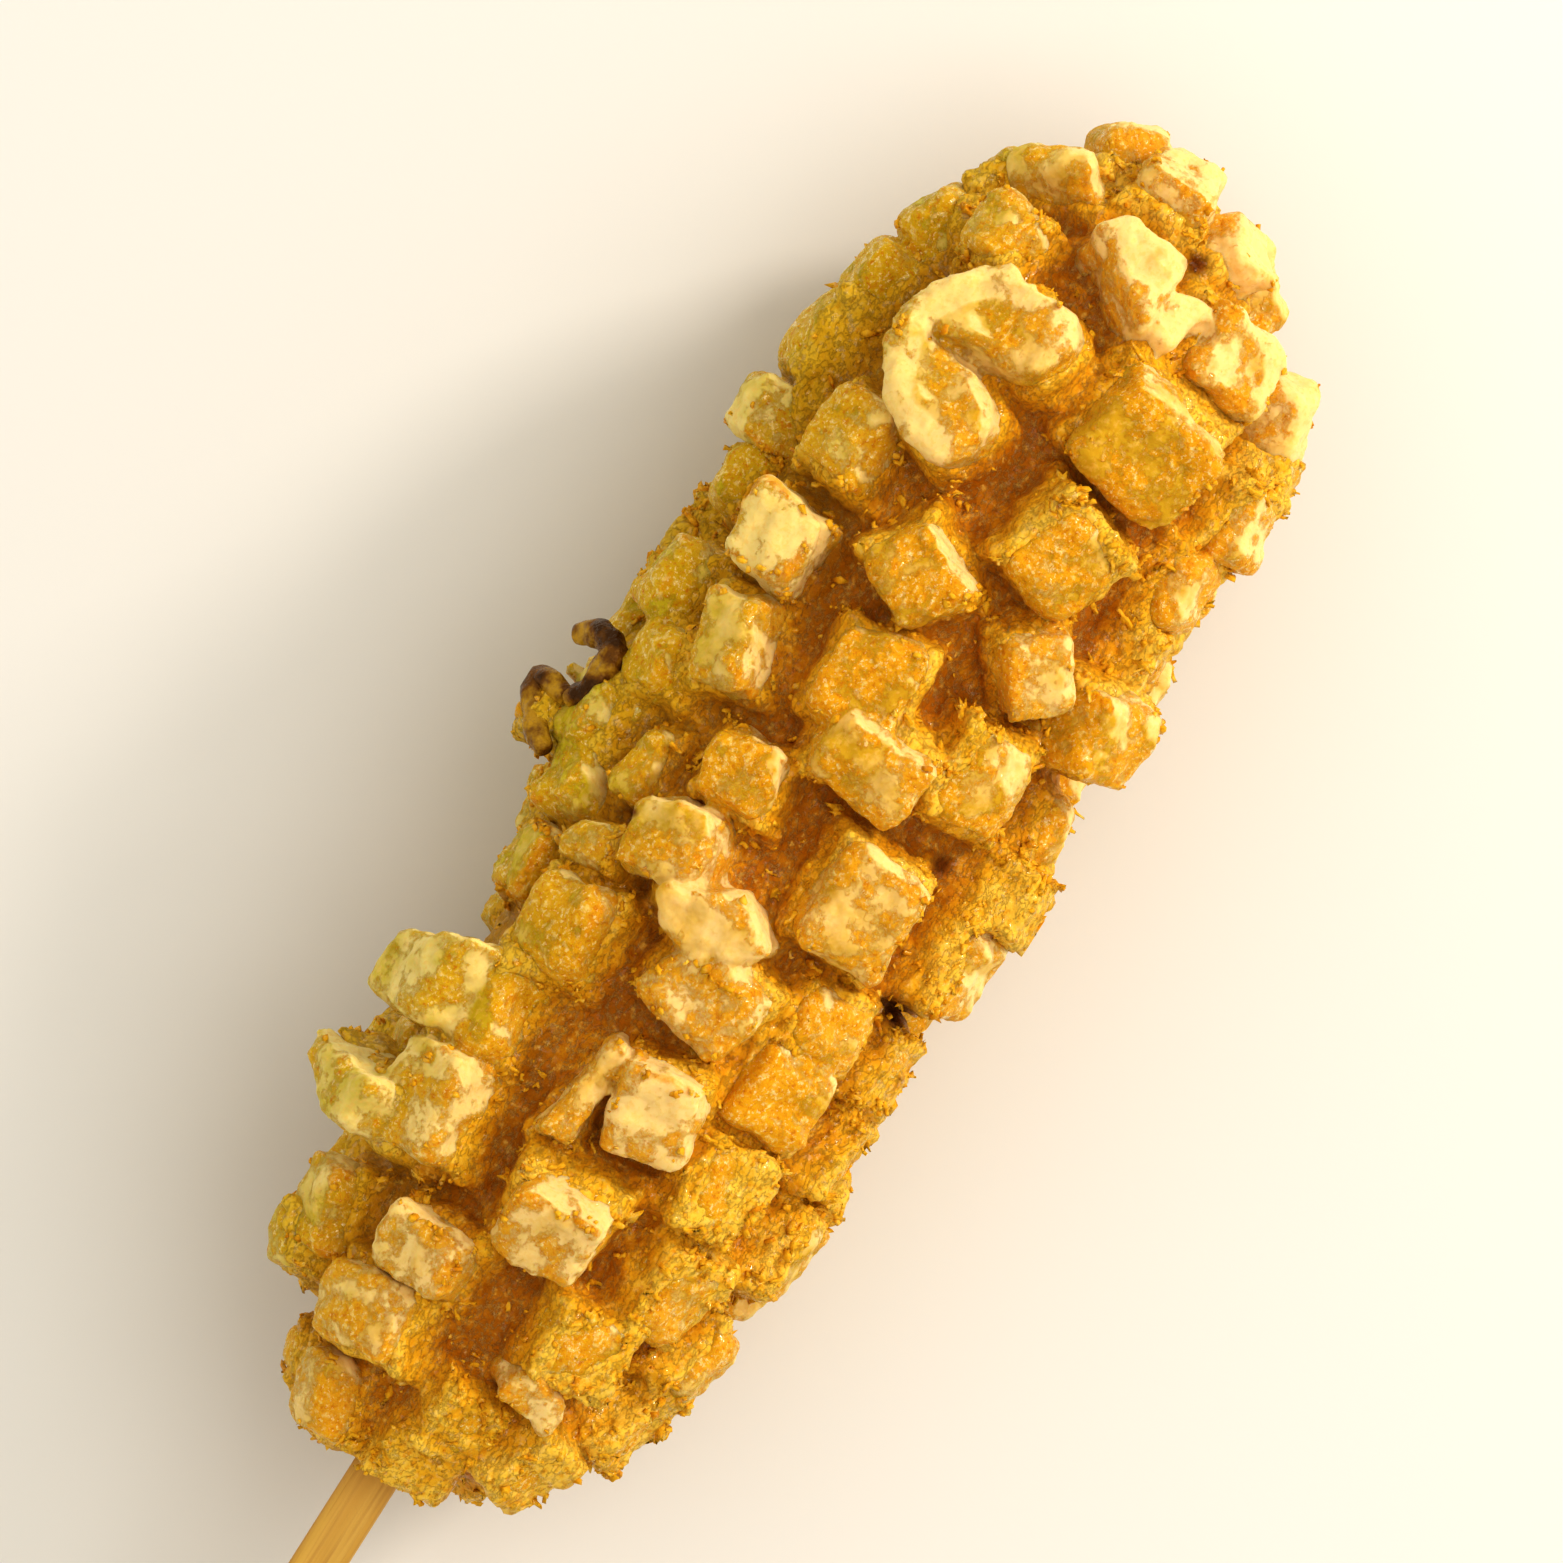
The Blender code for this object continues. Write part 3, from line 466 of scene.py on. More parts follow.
def place(piece, surface, slot, *nodes):
    """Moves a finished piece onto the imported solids, inside their box, and hands it to the frame."""
    piece.data.transform(TO_ROW)
    inside = np.clip(points_of(piece.data), *(tuple(corner) for corner in cad_box))
    piece.data.vertices.foreach_set("co", inside.ravel())
    piece.data.materials.clear()
    piece.data.materials.append(surface)
    for face in piece.data.polygons:
        face.use_smooth = True
    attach(piece, "root")
    if nodes:
        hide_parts(*nodes)


# Each layer of relief: its name, how detailed its noise is, and how far it is drawn out lengthwise.
RELIEF_LAYERS = ("Swell", 2.0, 1.0), ("Grain", 4.0, 1.0), ("Fibre", 1.0, 0.22), ("Rag", 3.0, 1.0)
RAG_OUTWARDS = 0.1


def relief_tree(name, surface):
    """Pushes a skin in and out: swells, crumbly grain, fibres, and rags where its rims field is high."""
    sizes = [f"{layer[0]} {word}" for layer in RELIEF_LAYERS for word in ("size", "height")]
    tree, given, out, keys = geometry_tree(name, sizes)
    spot = node(tree, "GeometryNodeInputPosition").outputs[0]
    total = None
    for word, detail, stretch in RELIEF_LAYERS:
        scale = sums(tree, "DIVIDE", 1.0, given.outputs[f"{word} size"])
        drawn_out = {0: spot, 1: (stretch, 1.0, 1.0)}
        there = node(tree, "ShaderNodeVectorMath", drawn_out, operation="MULTIPLY").outputs[0]
        inputs = {"Vector": there, "Scale": scale, "Detail": detail}
        rough = sums(tree, "SUBTRACT", node(tree, "ShaderNodeTexNoise", inputs).outputs[0], 0.5)
        if word == "Rag":
            rough = sums(tree, "MULTIPLY", sums(tree, "ADD", rough, RAG_OUTWARDS), named_field(tree, "rims"))
        push = sums(tree, "MULTIPLY", rough, given.outputs[f"{word} height"])
        total = push if total is None else sums(tree, "ADD", total, push)
    normal = node(tree, "GeometryNodeInputNormal").outputs[0]
    offset = node(tree, "ShaderNodeVectorMath", {0: normal, "Scale": total}, operation="SCALE").outputs[0]
    moved = node(tree, "GeometryNodeSetPosition", {"Geometry": given.outputs[0], "Offset": offset}).outputs[0]
    real = node(tree, "GeometryNodeRealizeInstances", {"Geometry": moved}).outputs[0]
    done = node(tree, "GeometryNodeSetMaterial", {"Geometry": real, "Material": surface}).outputs[0]
    tree.links.new(done, out.inputs[0])
    return tree, keys


FAR_AWAY, EDGE_WIDTH, DIE_REACH = 99.0, 2.2, 2.0


def die_fields(points, dice):
    """Distance outside the nearest die, closeness to its edges, height on it and its number, for points."""
    gap = np.full(len(points), FAR_AWAY)
    edge, height = np.zeros(len(points)), np.zeros(len(points))
    which = np.zeros(len(points), int)
    for number, (frame, corners, rise, _, _) in enumerate(dice):
        turned = np.array(frame)
        half = np.abs(np.array(corners)).max(axis=0) * DIE_TOP_SHARE
        near = np.linalg.norm(points - turned[:3, 3], axis=1) < half.max() * 1.5 + rise + DIE_REACH
        own = (points[near] - turned[:3, 3]) @ turned[:3, :3]
        past = np.stack([np.abs(own[:, 0]) - half[0], np.abs(own[:, 1]) - half[1], own[:, 2] - rise], axis=1)
        past.sort(axis=1)
        closer = past[:, 2] < gap[near]
        rows = np.flatnonzero(near)[closer]
        gap[rows] = past[closer, 2]
        edge[rows] = np.clip(1.0 + past[closer, 1] / EDGE_WIDTH, 0.0, 1.0)
        height[rows] = np.clip(own[closer, 2] / rise, 0.0, 1.2)
        which[rows] = number
    return gap, edge, height, which


def char_field(points):
    """The few spots on the shown side that fried nearly black, as 1 at their middles."""
    char = np.zeros(len(points))
    for along, off_centre, size in CHAR_SPOTS:
        away = np.hypot(points[:, 0] - along, points[:, 1] - off_centre) / size
        char = np.maximum(char, np.clip(CHAR_SOFTNESS - away, 0.0, 1.0) * (points[:, 2] > AXIS_HEIGHT))
    return char


def shade_field(points):
    """The +Y side, away from the key light, where shade is painted in as a more olive colour, as 1."""
    return np.clip((points[:, 1] - SHADE_FROM) / SHADE_OVER, 0.0, 1.0)


def points_of(mesh):
    flat = np.empty(len(mesh.vertices) * 3, np.float64)
    mesh.vertices.foreach_get("co", flat)
    return flat.reshape(-1, 3)


def keep_field(mesh, name, values):
    kept = mesh.attributes.get(name) or mesh.attributes.new(name, "FLOAT", "POINT")
    kept.data.foreach_set("value", np.asarray(values, np.float32))


outline = Outline()
draw = random.Random(SEED)
shown = list(placed_dice())
hidden = list(hidden_dice(shown, draw))
all_dice = shown + hidden
corner_shifts = [
    [[draw.uniform(-DIE_CORNER_SHIFT, DIE_CORNER_SHIFT) for _ in range(3)] for _ in range(2 * len(die[1]))]
    for die in all_dice
]

BATTER_VOXEL, SOFTENING = 0.5, 0.5
SKIRT_FOOT, SKIRT_CLIMB, SKIRT_RAGGED = 0.26, 0.95, 0.34
SKIRT_SPREAD, COVER = 1.7, 0.3
SKIRT_LEAST, SKIRT_MOST = 0.06, 1.05
SKIRT_EASE, SKIRT_SEED = 0.8, 7
# Spots that fried nearly black: distance along the food, off its centre line, and size.
CHAR_SPOTS = (
    (74.5, 13.2, 0.5),
    (71.5, -19.5, 1.5),
    (150.5, -5.0, 1.2),
    (86.5, -15.5, 1.0),
    (66.0, -23.5, 0.4),
)
CHAR_SOFTNESS = 1.5
# Where the painted shade of the +Y side begins, and over how far it deepens, in millimetres.
SHADE_FROM, SHADE_OVER = 6.0, 16.0
BATTER_TRIANGLES = 195000
BATTER_RELIEF = {
    "Swell size": 3.6,
    "Swell height": 2.5,
    "Grain size": 1.5,
    "Grain height": 0.75,
    "Fibre size": 0.8,
    "Fibre height": 0.32,
    "Rag size": 1.3,
    "Rag height": 1.9,
}
FULL_CLIMB = 6.5
RIM_WIDTH, RIM_FROM_EDGE, RIM_OVER = 1.2, 0.35, 0.4
CLUSTER_SIZE, CLUSTER_SHARE, CLUSTER_CONTRAST = 4.0, 0.4, 2.5
CRUMBS_EVERYWHERE = 0.16

sausage = bmesh.new()
rings = []
for ring in range(1, CORE_RINGS):
    along, radius, _, _ = outline.at(outline.length * ring / CORE_RINGS)
    points = []
    for step in range(CORE_SIDES):
        angle = 2 * math.pi * step / CORE_SIDES
        spot = Vector((along, radius * math.sin(angle), radius * math.cos(angle)))
        lump = 1.0 + CORE_LUMP * noise.noise(spot / CORE_LUMP_SIZE) / CORE_RADIUS
        points.append(sausage.verts.new((spot.x, spot.y * lump, AXIS_HEIGHT + spot.z * lump)))
    rings.append(points)
poles = [sausage.verts.new((end, 0.0, AXIS_HEIGHT)) for end in (CORE_START, CORE_END)]
for step in range(CORE_SIDES):
    after = (step + 1) % CORE_SIDES
    for near, far in zip(rings, rings[1:]):
        sausage.faces.new([near[step], near[after], far[after], far[step]])
    sausage.faces.new([poles[0], rings[0][after], rings[0][step]])
    sausage.faces.new([poles[1], rings[-1][step], rings[-1][after]])
bmesh.ops.recalc_face_normals(sausage, faces=sausage.faces)
ragged = random.Random(SKIRT_SEED)
for (frame, corners, rise, coat, _), shifts in zip(all_dice, corner_shifts):
    climbs = []
    for _ in corners:
        climb = SKIRT_FOOT + SKIRT_CLIMB * coat + ragged.uniform(-SKIRT_RAGGED, SKIRT_RAGGED)
        climbs.append(rise * min(max(climb, SKIRT_LEAST), SKIRT_MOST))
    rims = grown(corners, SKIRT_SPREAD), grown(corners, COVER, DIE_TOP_SHARE)
    rimmed_block(sausage, frame, *rims, -DIE_DEPTH, climbs, iter(shifts), SKIRT_EASE)
batter = object_of("batter", sausage)
remesh = batter.modifiers.new("skin", "REMESH")
remesh.mode = "VOXEL"
remesh.voxel_size = BATTER_VOXEL
soften = batter.modifiers.new("soften", "SMOOTH")
soften.factor, soften.iterations = SOFTENING, 4


def colour_ramp(tree, value, *stops):
    ramp = tree.nodes.new("ShaderNodeValToRGB")
    tree.links.new(value, ramp.inputs[0])
    while len(ramp.color_ramp.elements) < len(stops):
        ramp.color_ramp.elements.new(0.5)
    for element, (position, colour) in zip(ramp.color_ramp.elements, stops):
        element.position = position
        element.color = (*colour, 1.0)
    return ramp.outputs[0]


def mixed(tree, factor, first, second):
    made = node(tree, "ShaderNodeMix", data_type="RGBA")
    for index, value in ((0, factor), (6, first), (7, second)):
        if isinstance(value, bpy.types.NodeSocket):
            tree.links.new(value, made.inputs[index])
        else:
            made.inputs[index].default_value = (*value, 1.0) if index else value
    return made.outputs[2]


def spread(tree, value, low, high, to_low=0.0, to_high=1.0):
    """A value's span stretched to another, and held at its ends."""
    inputs = {0: value, 1: low, 2: high, 3: to_low, 4: to_high}
    return node(tree, "ShaderNodeMapRange", inputs, clamp=True).outputs[0]


def speckle(tree, where, size, detail=2.0, roughness=0.5):
    """Noise with grains of a size in millimetres."""
    inputs = {"Vector": where, "Scale": 1.0 / (size * MM), "Detail": detail, "Roughness": roughness}
    return node(tree, "ShaderNodeTexNoise", inputs).outputs[0]


def field(tree, name):
    return node(tree, "ShaderNodeAttribute", attribute_name=name).outputs["Fac"]


def surface_of(name, roughness, **sockets):
    """A material's (material, tree, shader, object coordinates), with its shader's constant sockets set."""
    made = bpy.data.materials.new(name)
    made.use_nodes = True
    tree = made.node_tree
    shader = tree.nodes["Principled BSDF"]
    shader.inputs["Roughness"].default_value = roughness
    for socket, value in sockets.items():
        shader.inputs[socket.replace("_", " ")].default_value = value
    return made, tree, shader, node(tree, "ShaderNodeTexCoord").outputs["Object"]


def dent(tree, shader, height, depth, socket="Normal"):
    """Bumps a surface, or only its oily coat, by a height field, its depth in millimetres."""
    bump = node(tree, "ShaderNodeBump", {"Height": height, "Distance": depth * MM})
    tree.links.new(bump.outputs[0], shader.inputs[socket])


def glints(tree, shader, where, share=1.0):
    """Beads of frying oil: small glossy spots whose facets catch the light."""
    beads = spread(tree, speckle(tree, where, 0.7, 2.0), 0.56, 0.62)
    tree.links.new(sums(tree, "MULTIPLY", beads, share), shader.inputs["Coat Weight"])
    dent(tree, shader, speckle(tree, where, 0.4, 1.0), 0.22, "Coat Normal")


def batter_surface():
    """Deep-fried dough: brown, clear and fibrous in the gaps, golden where it climbs the dice."""
    made, tree, shader, where = surface_of(
        "fried_batter",
        0.42,
        Specular_IOR_Level=0.2,
        Specular_Tint=(1.0, 0.72, 0.3, 1.0),
        Coat_Roughness=0.09,
        Coat_IOR=1.8,
    )
    climb, char, shade = (field(tree, name) for name in ("climb", "char", "shade"))
    patches = speckle(tree, where, 4.5, 7.0, 0.68)
    grain = speckle(tree, where, 0.9, 5.0, 0.65)
    stretched = node(tree, "ShaderNodeMapping", {"Vector": where, "Scale": (0.6, 1.0, 1.0)}).outputs[0]
    fibres = speckle(tree, stretched, 1.0, 5.0, 0.65)
    off_thread = sums(tree, "ABSOLUTE", sums(tree, "SUBTRACT", fibres, 0.5))
    threads = spread(tree, off_thread, 0.0, 0.03, 1.0, 0.0)
    level = sums(tree, "ADD", climb, sums(tree, "MULTIPLY", sums(tree, "SUBTRACT", patches, 0.48), 2.0))
    colour = colour_ramp(
        tree,
        level,
        (0.0, (0.42, 0.142, 0.003)),
        (0.25, (0.59, 0.235, 0.005)),
        (0.5, (0.77, 0.385, 0.012)),
        (0.8, (0.84, 0.475, 0.022)),
        (1.0, (0.91, 0.59, 0.07)),
    )
    bare = spread(tree, climb, 0.1, 0.5, 0.6, 0.1)
    colour = mixed(tree, sums(tree, "MULTIPLY", threads, bare), colour, (0.90, 0.60, 0.20))
    colour = mixed(tree, spread(tree, grain, 0.56, 0.68, 0.0, 0.6), colour, (0.94, 0.65, 0.14))
    # Painted shade: the dents of the grain are painted a darker red-brown, deepest in the gaps.
    painted_shade_pits = mixed(tree, spread(tree, climb, 0.15, 0.6), (0.50, 0.16, 0.003), (0.76, 0.345, 0.008))
    colour = mixed(tree, spread(tree, grain, 0.49, 0.36, 0.0, 0.85), colour, painted_shade_pits)
    # Painted shade: the batter on the +Y side, away from the key light, is painted more olive.
    colour = mixed(tree, sums(tree, "MULTIPLY", shade, 0.5), colour, (0.60, 0.42, 0.013))
    colour = mixed(tree, char, colour, (0.20, 0.05, 0.002))
    tree.links.new(colour, shader.inputs["Base Color"])
    height = sums(tree, "ADD", grain, sums(tree, "MULTIPLY", threads, 0.25))
    dent(tree, shader, height, 0.3)
    glints(tree, shader, where, spread(tree, climb, 0.0, 0.5, 0.25, 0.75))
    return made


def skirt_rims(points):
    """How close points of the batter are to the edges of the dice it climbs, in clusters."""
    gap, edge, _, _ = die_fields(points, all_dice)
    clusters = np.array([noise.noise(Vector(point) / CLUSTER_SIZE) for point in points])
    along_edges = np.clip((edge - RIM_FROM_EDGE) / RIM_OVER, 0.0, 1.0)
    rims = np.clip(1.3 - np.abs(gap) / RIM_WIDTH, 0.0, 1.0) * along_edges
    return rims, np.clip(CLUSTER_SHARE + CLUSTER_CONTRAST * clusters, 0.05, 1.0)


settle(batter)
keep_field(batter.data, "rims", skirt_rims(points_of(batter.data))[0])
fried_batter = batter_surface()
batter_relief, relief_keys = relief_tree("skin relief", fried_batter)
grow(batter, batter_relief, relief_keys, BATTER_RELIEF)
settle(batter)
thin_out(batter, BATTER_TRIANGLES)
batter_points = points_of(batter.data)
core_radii = np.interp(batter_points[:, 0], outline.along, outline.radius)
above = np.hypot(batter_points[:, 1], batter_points[:, 2] - AXIS_HEIGHT) - core_radii
keep_field(batter.data, "climb", np.clip(above / FULL_CLIMB, 0.0, 1.0))
keep_field(batter.data, "char", char_field(batter_points))
keep_field(batter.data, "shade", shade_field(batter_points))
batter_rims, clusters = skirt_rims(batter_points)
keep_field(batter.data, "crumbs", (CRUMBS_EVERYWHERE + batter_rims) * clusters)
batter_skin = batter.data.copy()
place(batter, fried_batter, "fried_crust", "potato_crust")

# Potato dice: cut raw, pressed into the wet batter and deep-fried on it. Clean faces stay pale and waxy, and
# edges and low faces turn gold. The shown ones are two pieces, clean and battered, and the back's are a
# third. A pale arch of potato skin curls over one pair and is fused to it.
# Faces turned to the key light are painted paler and less gold, as painted light, and the +Y side is painted
# in shade, more olive.
DIE_SEAT = 1.8
CLEAN_EDGE_ROUND, COATED_EDGE_ROUND = 1.2, 2.6
# The key light's side: potato faces turned towards it are painted paler and less gold, as painted light.
PAINTED_LIGHT_SIDE = (0.85, -0.45, 0.1)
CLEAN_BELOW = 0.45
CLEAN_VOXEL, BATTERED_VOXEL, BACK_VOXEL = 0.42, 0.5, 0.6
CLEAN_TRIANGLES, BATTERED_TRIANGLES, BACK_TRIANGLES = 195000, 110000, 150000
POTATO_RELIEF = {
    "Swell size": 5.5,
    "Swell height": 2.8,
    "Grain size": 2.2,
    "Grain height": 0.9,
    "Fibre size": 0.8,
    "Fibre height": 0.05,
    "Rag size": 1.1,
    "Rag height": 0.9,
}
STRAND_SIDES, STRAND_LUMP = 24, 1.6


def potato_surface():
    made, tree, shader, where = surface_of(
        "fried_potato",
        0.4,
        Specular_IOR_Level=0.22,
        Specular_Tint=(1.0, 0.72, 0.3, 1.0),
        Subsurface_Weight=0.7,
        Subsurface_Radius=(1.0, 0.8, 0.45),
        Subsurface_Scale=0.0013,
        Coat_Roughness=0.09,
        Coat_IOR=1.8,
    )
    names = "edge", "height", "pale", "facing", "coat", "shade", "char"
    edge, height, pale, facing, coat, shade, char = (field(tree, name) for name in names)
    broad = speckle(tree, where, 5.0, 4.0, 0.6)
    patches = speckle(tree, where, 4.5, 9.0, 0.7)
    crisp = speckle(tree, where, 0.7, 5.0, 0.65)
    soft = speckle(tree, where, 2.6, 2.0)
    # Painted light: faces turned to the key light get a paler, creamier flesh, on top of each die's own
    # paleness and random tone.
    lit_side = spread(tree, facing, 0.35, 0.75)
    pale_and_painted_light = sums(tree, "ADD", pale, sums(tree, "MULTIPLY", lit_side, 0.65))
    pale_and_painted_light = sums(tree, "ADD", pale_and_painted_light, sums(tree, "MULTIPLY", sums(tree, "SUBTRACT", broad, 0.5), 1.6))
    # Painted shade: towards the +Y side, away from the key light, the flesh is painted more olive.
    waxy = mixed(tree, shade, (0.66, 0.395, 0.020), (0.60, 0.47, 0.020))
    dry_and_lit_flesh = mixed(tree, shade, (0.90, 0.67, 0.29), (0.84, 0.69, 0.27))
    flesh = mixed(tree, spread(tree, pale_and_painted_light, 0.34, 0.86), waxy, dry_and_lit_flesh)
    flesh = mixed(tree, spread(tree, crisp, 0.50, 0.62, 0.0, 0.45), flesh, (0.86, 0.57, 0.12))
    gold = sums(tree, "ADD", patches, sums(tree, "MULTIPLY", sums(tree, "SUBTRACT", 1.0, height), 0.12))
    gold = sums(tree, "ADD", gold, sums(tree, "MULTIPLY", edge, 0.06))
    gold = sums(tree, "ADD", gold, sums(tree, "MULTIPLY", coat, 0.14))
    gold = sums(tree, "SUBTRACT", gold, sums(tree, "MULTIPLY", sums(tree, "SUBTRACT", pale_and_painted_light, 0.5), 0.07))
    # Painted light: fewer gold patches on faces turned to the key light.
    gold = sums(tree, "SUBTRACT", gold, sums(tree, "MULTIPLY", lit_side, 0.06))
    crust = spread(tree, gold, 0.51, 0.575)
    # Painted shade: the fried crust on the +Y side is painted darker and more olive.
    fried = mixed(tree, shade, (0.83, 0.43, 0.010), (0.72, 0.46, 0.011))
    colour = mixed(tree, sums(tree, "MULTIPLY", crust, 0.92), flesh, fried)
    rim = spread(tree, sums(tree, "ADD", edge, sums(tree, "MULTIPLY", patches, 1.4)), 1.42, 1.62, 0.0, 0.75)
    colour = mixed(tree, rim, colour, (0.78, 0.36, 0.010))
    light_bits = sums(tree, "MULTIPLY", spread(tree, crisp, 0.54, 0.66), crust)
    colour = mixed(tree, sums(tree, "MULTIPLY", light_bits, 0.7), colour, (0.94, 0.70, 0.17))
    # Darker brown in the dents of the crisp bumps: partly the crust's own browning, partly painted shade.
    browned_and_shaded_dents = sums(tree, "MULTIPLY", spread(tree, crisp, 0.46, 0.34), crust)
    colour = mixed(tree, sums(tree, "MULTIPLY", browned_and_shaded_dents, 0.8), colour, (0.66, 0.25, 0.004))
    # Painted highlights: tiny near-white specks on the fried crust stand in for glints of oil.
    painted_glint_specks = sums(tree, "MULTIPLY", spread(tree, speckle(tree, where, 0.4, 2.0), 0.60, 0.66), crust)
    colour = mixed(tree, sums(tree, "MULTIPLY", painted_glint_specks, 0.55), colour, (1.0, 0.85, 0.45))
    colour = mixed(tree, char, colour, (0.16, 0.04, 0.002))
    tree.links.new(colour, shader.inputs["Base Color"])
    tree.links.new(spread(tree, crust, 0.0, 1.0, 0.5, 0.32), shader.inputs["Roughness"])
    bumps = sums(tree, "MULTIPLY", crisp, spread(tree, crust, 0.0, 1.0, 0.12, 0.7))
    dent(tree, shader, sums(tree, "ADD", bumps, soft), 0.6)
    glints(tree, shader, where, spread(tree, crust, 0.0, 1.0, 0.25, 0.9))
    return made


fried_potato = potato_surface()
potato_relief, relief_keys = relief_tree("potato relief", fried_potato)


def smooth_path(points, steps):
    """Points along a Catmull-Rom curve through the given ones."""
    ends = [points[0] * 2 - points[1], *points, points[-1] * 2 - points[-2]]
    path = []
    for k in range(1, len(ends) - 2):
        before, here, there, after = ends[k - 1 : k + 3]
        for step in range(steps):
            t = step / steps
            line = 2 * here + (there - before) * t
            bend = (2 * before - 5 * here + 4 * there - after) * t**2
            twist = (3 * here - before - 3 * there + after) * t**3
            path.append(0.5 * (line + bend + twist))
    return [*path, points[-1]]


def sweep(shape, path, end_radius, radius, up, wobble):
    """Adds a closed round strand along a path, thinner at its ends and roughened by noise, to a bmesh."""
    rings, faces = [], []
    for k, spot in enumerate(path):
        ahead = (path[min(k + 1, len(path) - 1)] - path[max(k - 1, 0)]).normalized()
        aside = ahead.cross(up).normalized()
        over = aside.cross(ahead)
        here = end_radius + (radius - end_radius) * math.sin(math.pi * k / (len(path) - 1)) ** 0.5
        ring = []
        for step in range(STRAND_SIDES):
            turn = math.tau * step / STRAND_SIDES
            out = math.cos(turn) * aside + math.sin(turn) * over
            reach = here * (1.0 + wobble * noise.noise((spot + here * out) / STRAND_LUMP))
            ring.append(shape.verts.new(spot + reach * out))
        rings.append(ring)
    for near, far in zip(rings, rings[1:]):
        for step in range(STRAND_SIDES):
            after = (step + 1) % STRAND_SIDES
            faces.append(shape.faces.new([near[step], near[after], far[after], far[step]]))
    faces += [shape.faces.new(rings[0]), shape.faces.new(rings[-1])]
    bmesh.ops.recalc_face_normals(shape, faces=faces)


def on_top_of(number, x, y):
    """The spot just under a die's top face at this place."""
    frame, _, rise, _, _ = all_dice[number]
    top, out = frame @ Vector((0.0, 0.0, rise - CURL_SINK)), frame.col[2].to_3d()
    return Vector((x, y, top.z - (out.x * (x - top.x) + out.y * (y - top.y)) / out.z))


# The arch runs round the far side of the curled pair, and stands above its faces.
CURLED_PAIR = len(TOP_DICE) + 3, len(TOP_DICE) + 4
CURL_ON_FIRST = ((121.0, 7.4), (121.7, 10.4), (123.9, 13.0), (126.9, 14.8), (130.3, 15.5))
CURL_ON_SECOND = ((133.8, 14.7), (136.8, 12.6), (138.7, 9.8), (139.0, 7.0))
CURL_RADIUS, CURL_END_RADIUS, CURL_WOBBLE = 1.6, 0.8, 0.3
CURL_SINK, CURL_STEPS, CURL_EDGE = 0.8, 12, 0.8
curl = [on_top_of(CURLED_PAIR[0], *spot) for spot in CURL_ON_FIRST]
curl += [on_top_of(CURLED_PAIR[1], *spot) for spot in CURL_ON_SECOND]
curl = smooth_path(curl, CURL_STEPS)


def dice_piece(name, numbers, voxel, triangles):
    """Some of the dice as one piece of closed, softly rounded lumps."""
    shape = bmesh.new()
    if CURLED_PAIR[0] in numbers:
        sweep(shape, curl, CURL_END_RADIUS, CURL_RADIUS, Vector((0.0, 0.0, 1.0)), CURL_WOBBLE)
    for number in numbers:
        frame, corners, rise, coat, _ = all_dice[number]
        ease = CLEAN_EDGE_ROUND + coat * (COATED_EDGE_ROUND - CLEAN_EDGE_ROUND)
        low, high = grown(corners, 0.0), grown(corners, 0.0, DIE_TOP_SHARE)
        shifts = iter(corner_shifts[number])
        rimmed_block(shape, frame, low, high, -DIE_SEAT, [rise] * len(high), shifts, ease)
    piece = object_of(name, shape)
    remesh = piece.modifiers.new("skin", "REMESH")
    remesh.mode = "VOXEL"
    remesh.voxel_size = voxel
    soften = piece.modifiers.new("soften", "SMOOTH")
    soften.factor, soften.iterations = SOFTENING, 1
    settle(piece)
    dice = [all_dice[number] for number in numbers]
    edge = die_fields(points_of(piece.data), dice)[1]
    keep_field(piece.data, "rims", np.clip(2.5 * edge - 1.3, 0.0, 1.0))
    grow(piece, potato_relief, relief_keys, POTATO_RELIEF)
    settle(piece)
    thin_out(piece, triangles)
    points = points_of(piece.data)
    normals = np.empty(points.size)
    piece.data.vertex_normals.foreach_get("vector", normals)
    _, edge, height, which = die_fields(points, dice)
    coats, pales = (np.array([die[part] for die in dice])[which] for part in (3, 4))
    to_curl = np.min([np.linalg.norm(points - np.array(spot), axis=1) for spot in curl[::3]], axis=0)
    on_curl = np.clip((CURL_RADIUS + 1.0 - to_curl) / CURL_EDGE, 0.0, 1.0)
    fields = {
        "edge": edge * (1.0 - on_curl),
        "height": height,
        "coat": coats * (1.0 - on_curl),
        "pale": np.maximum(pales, on_curl),
        # Painted light: how squarely each point faces the key light, which makes it paler.
        "facing": normals.reshape(-1, 3) @ np.array(PAINTED_LIGHT_SIDE),
        "shade": shade_field(points),
        "char": char_field(points),
    }
    for field_name, values in fields.items():
        keep_field(piece.data, field_name, values)
    return piece


clean = [k for k in range(len(shown)) if all_dice[k][3] < CLEAN_BELOW]
battered = [k for k in range(len(shown)) if all_dice[k][3] >= CLEAN_BELOW]
back = list(range(len(shown), len(all_dice)))
clean_dice = dice_piece("clean_dice", clean, CLEAN_VOXEL, CLEAN_TRIANGLES)
battered_dice = dice_piece("battered_dice", battered, BATTERED_VOXEL, BATTERED_TRIANGLES)
back_dice = dice_piece("back_dice", back, BACK_VOXEL, BACK_TRIANGLES)
clean_skin = clean_dice.data.copy()
for dice_made in (clean_dice, battered_dice, back_dice):
    place(dice_made, fried_potato, "fried_crust")

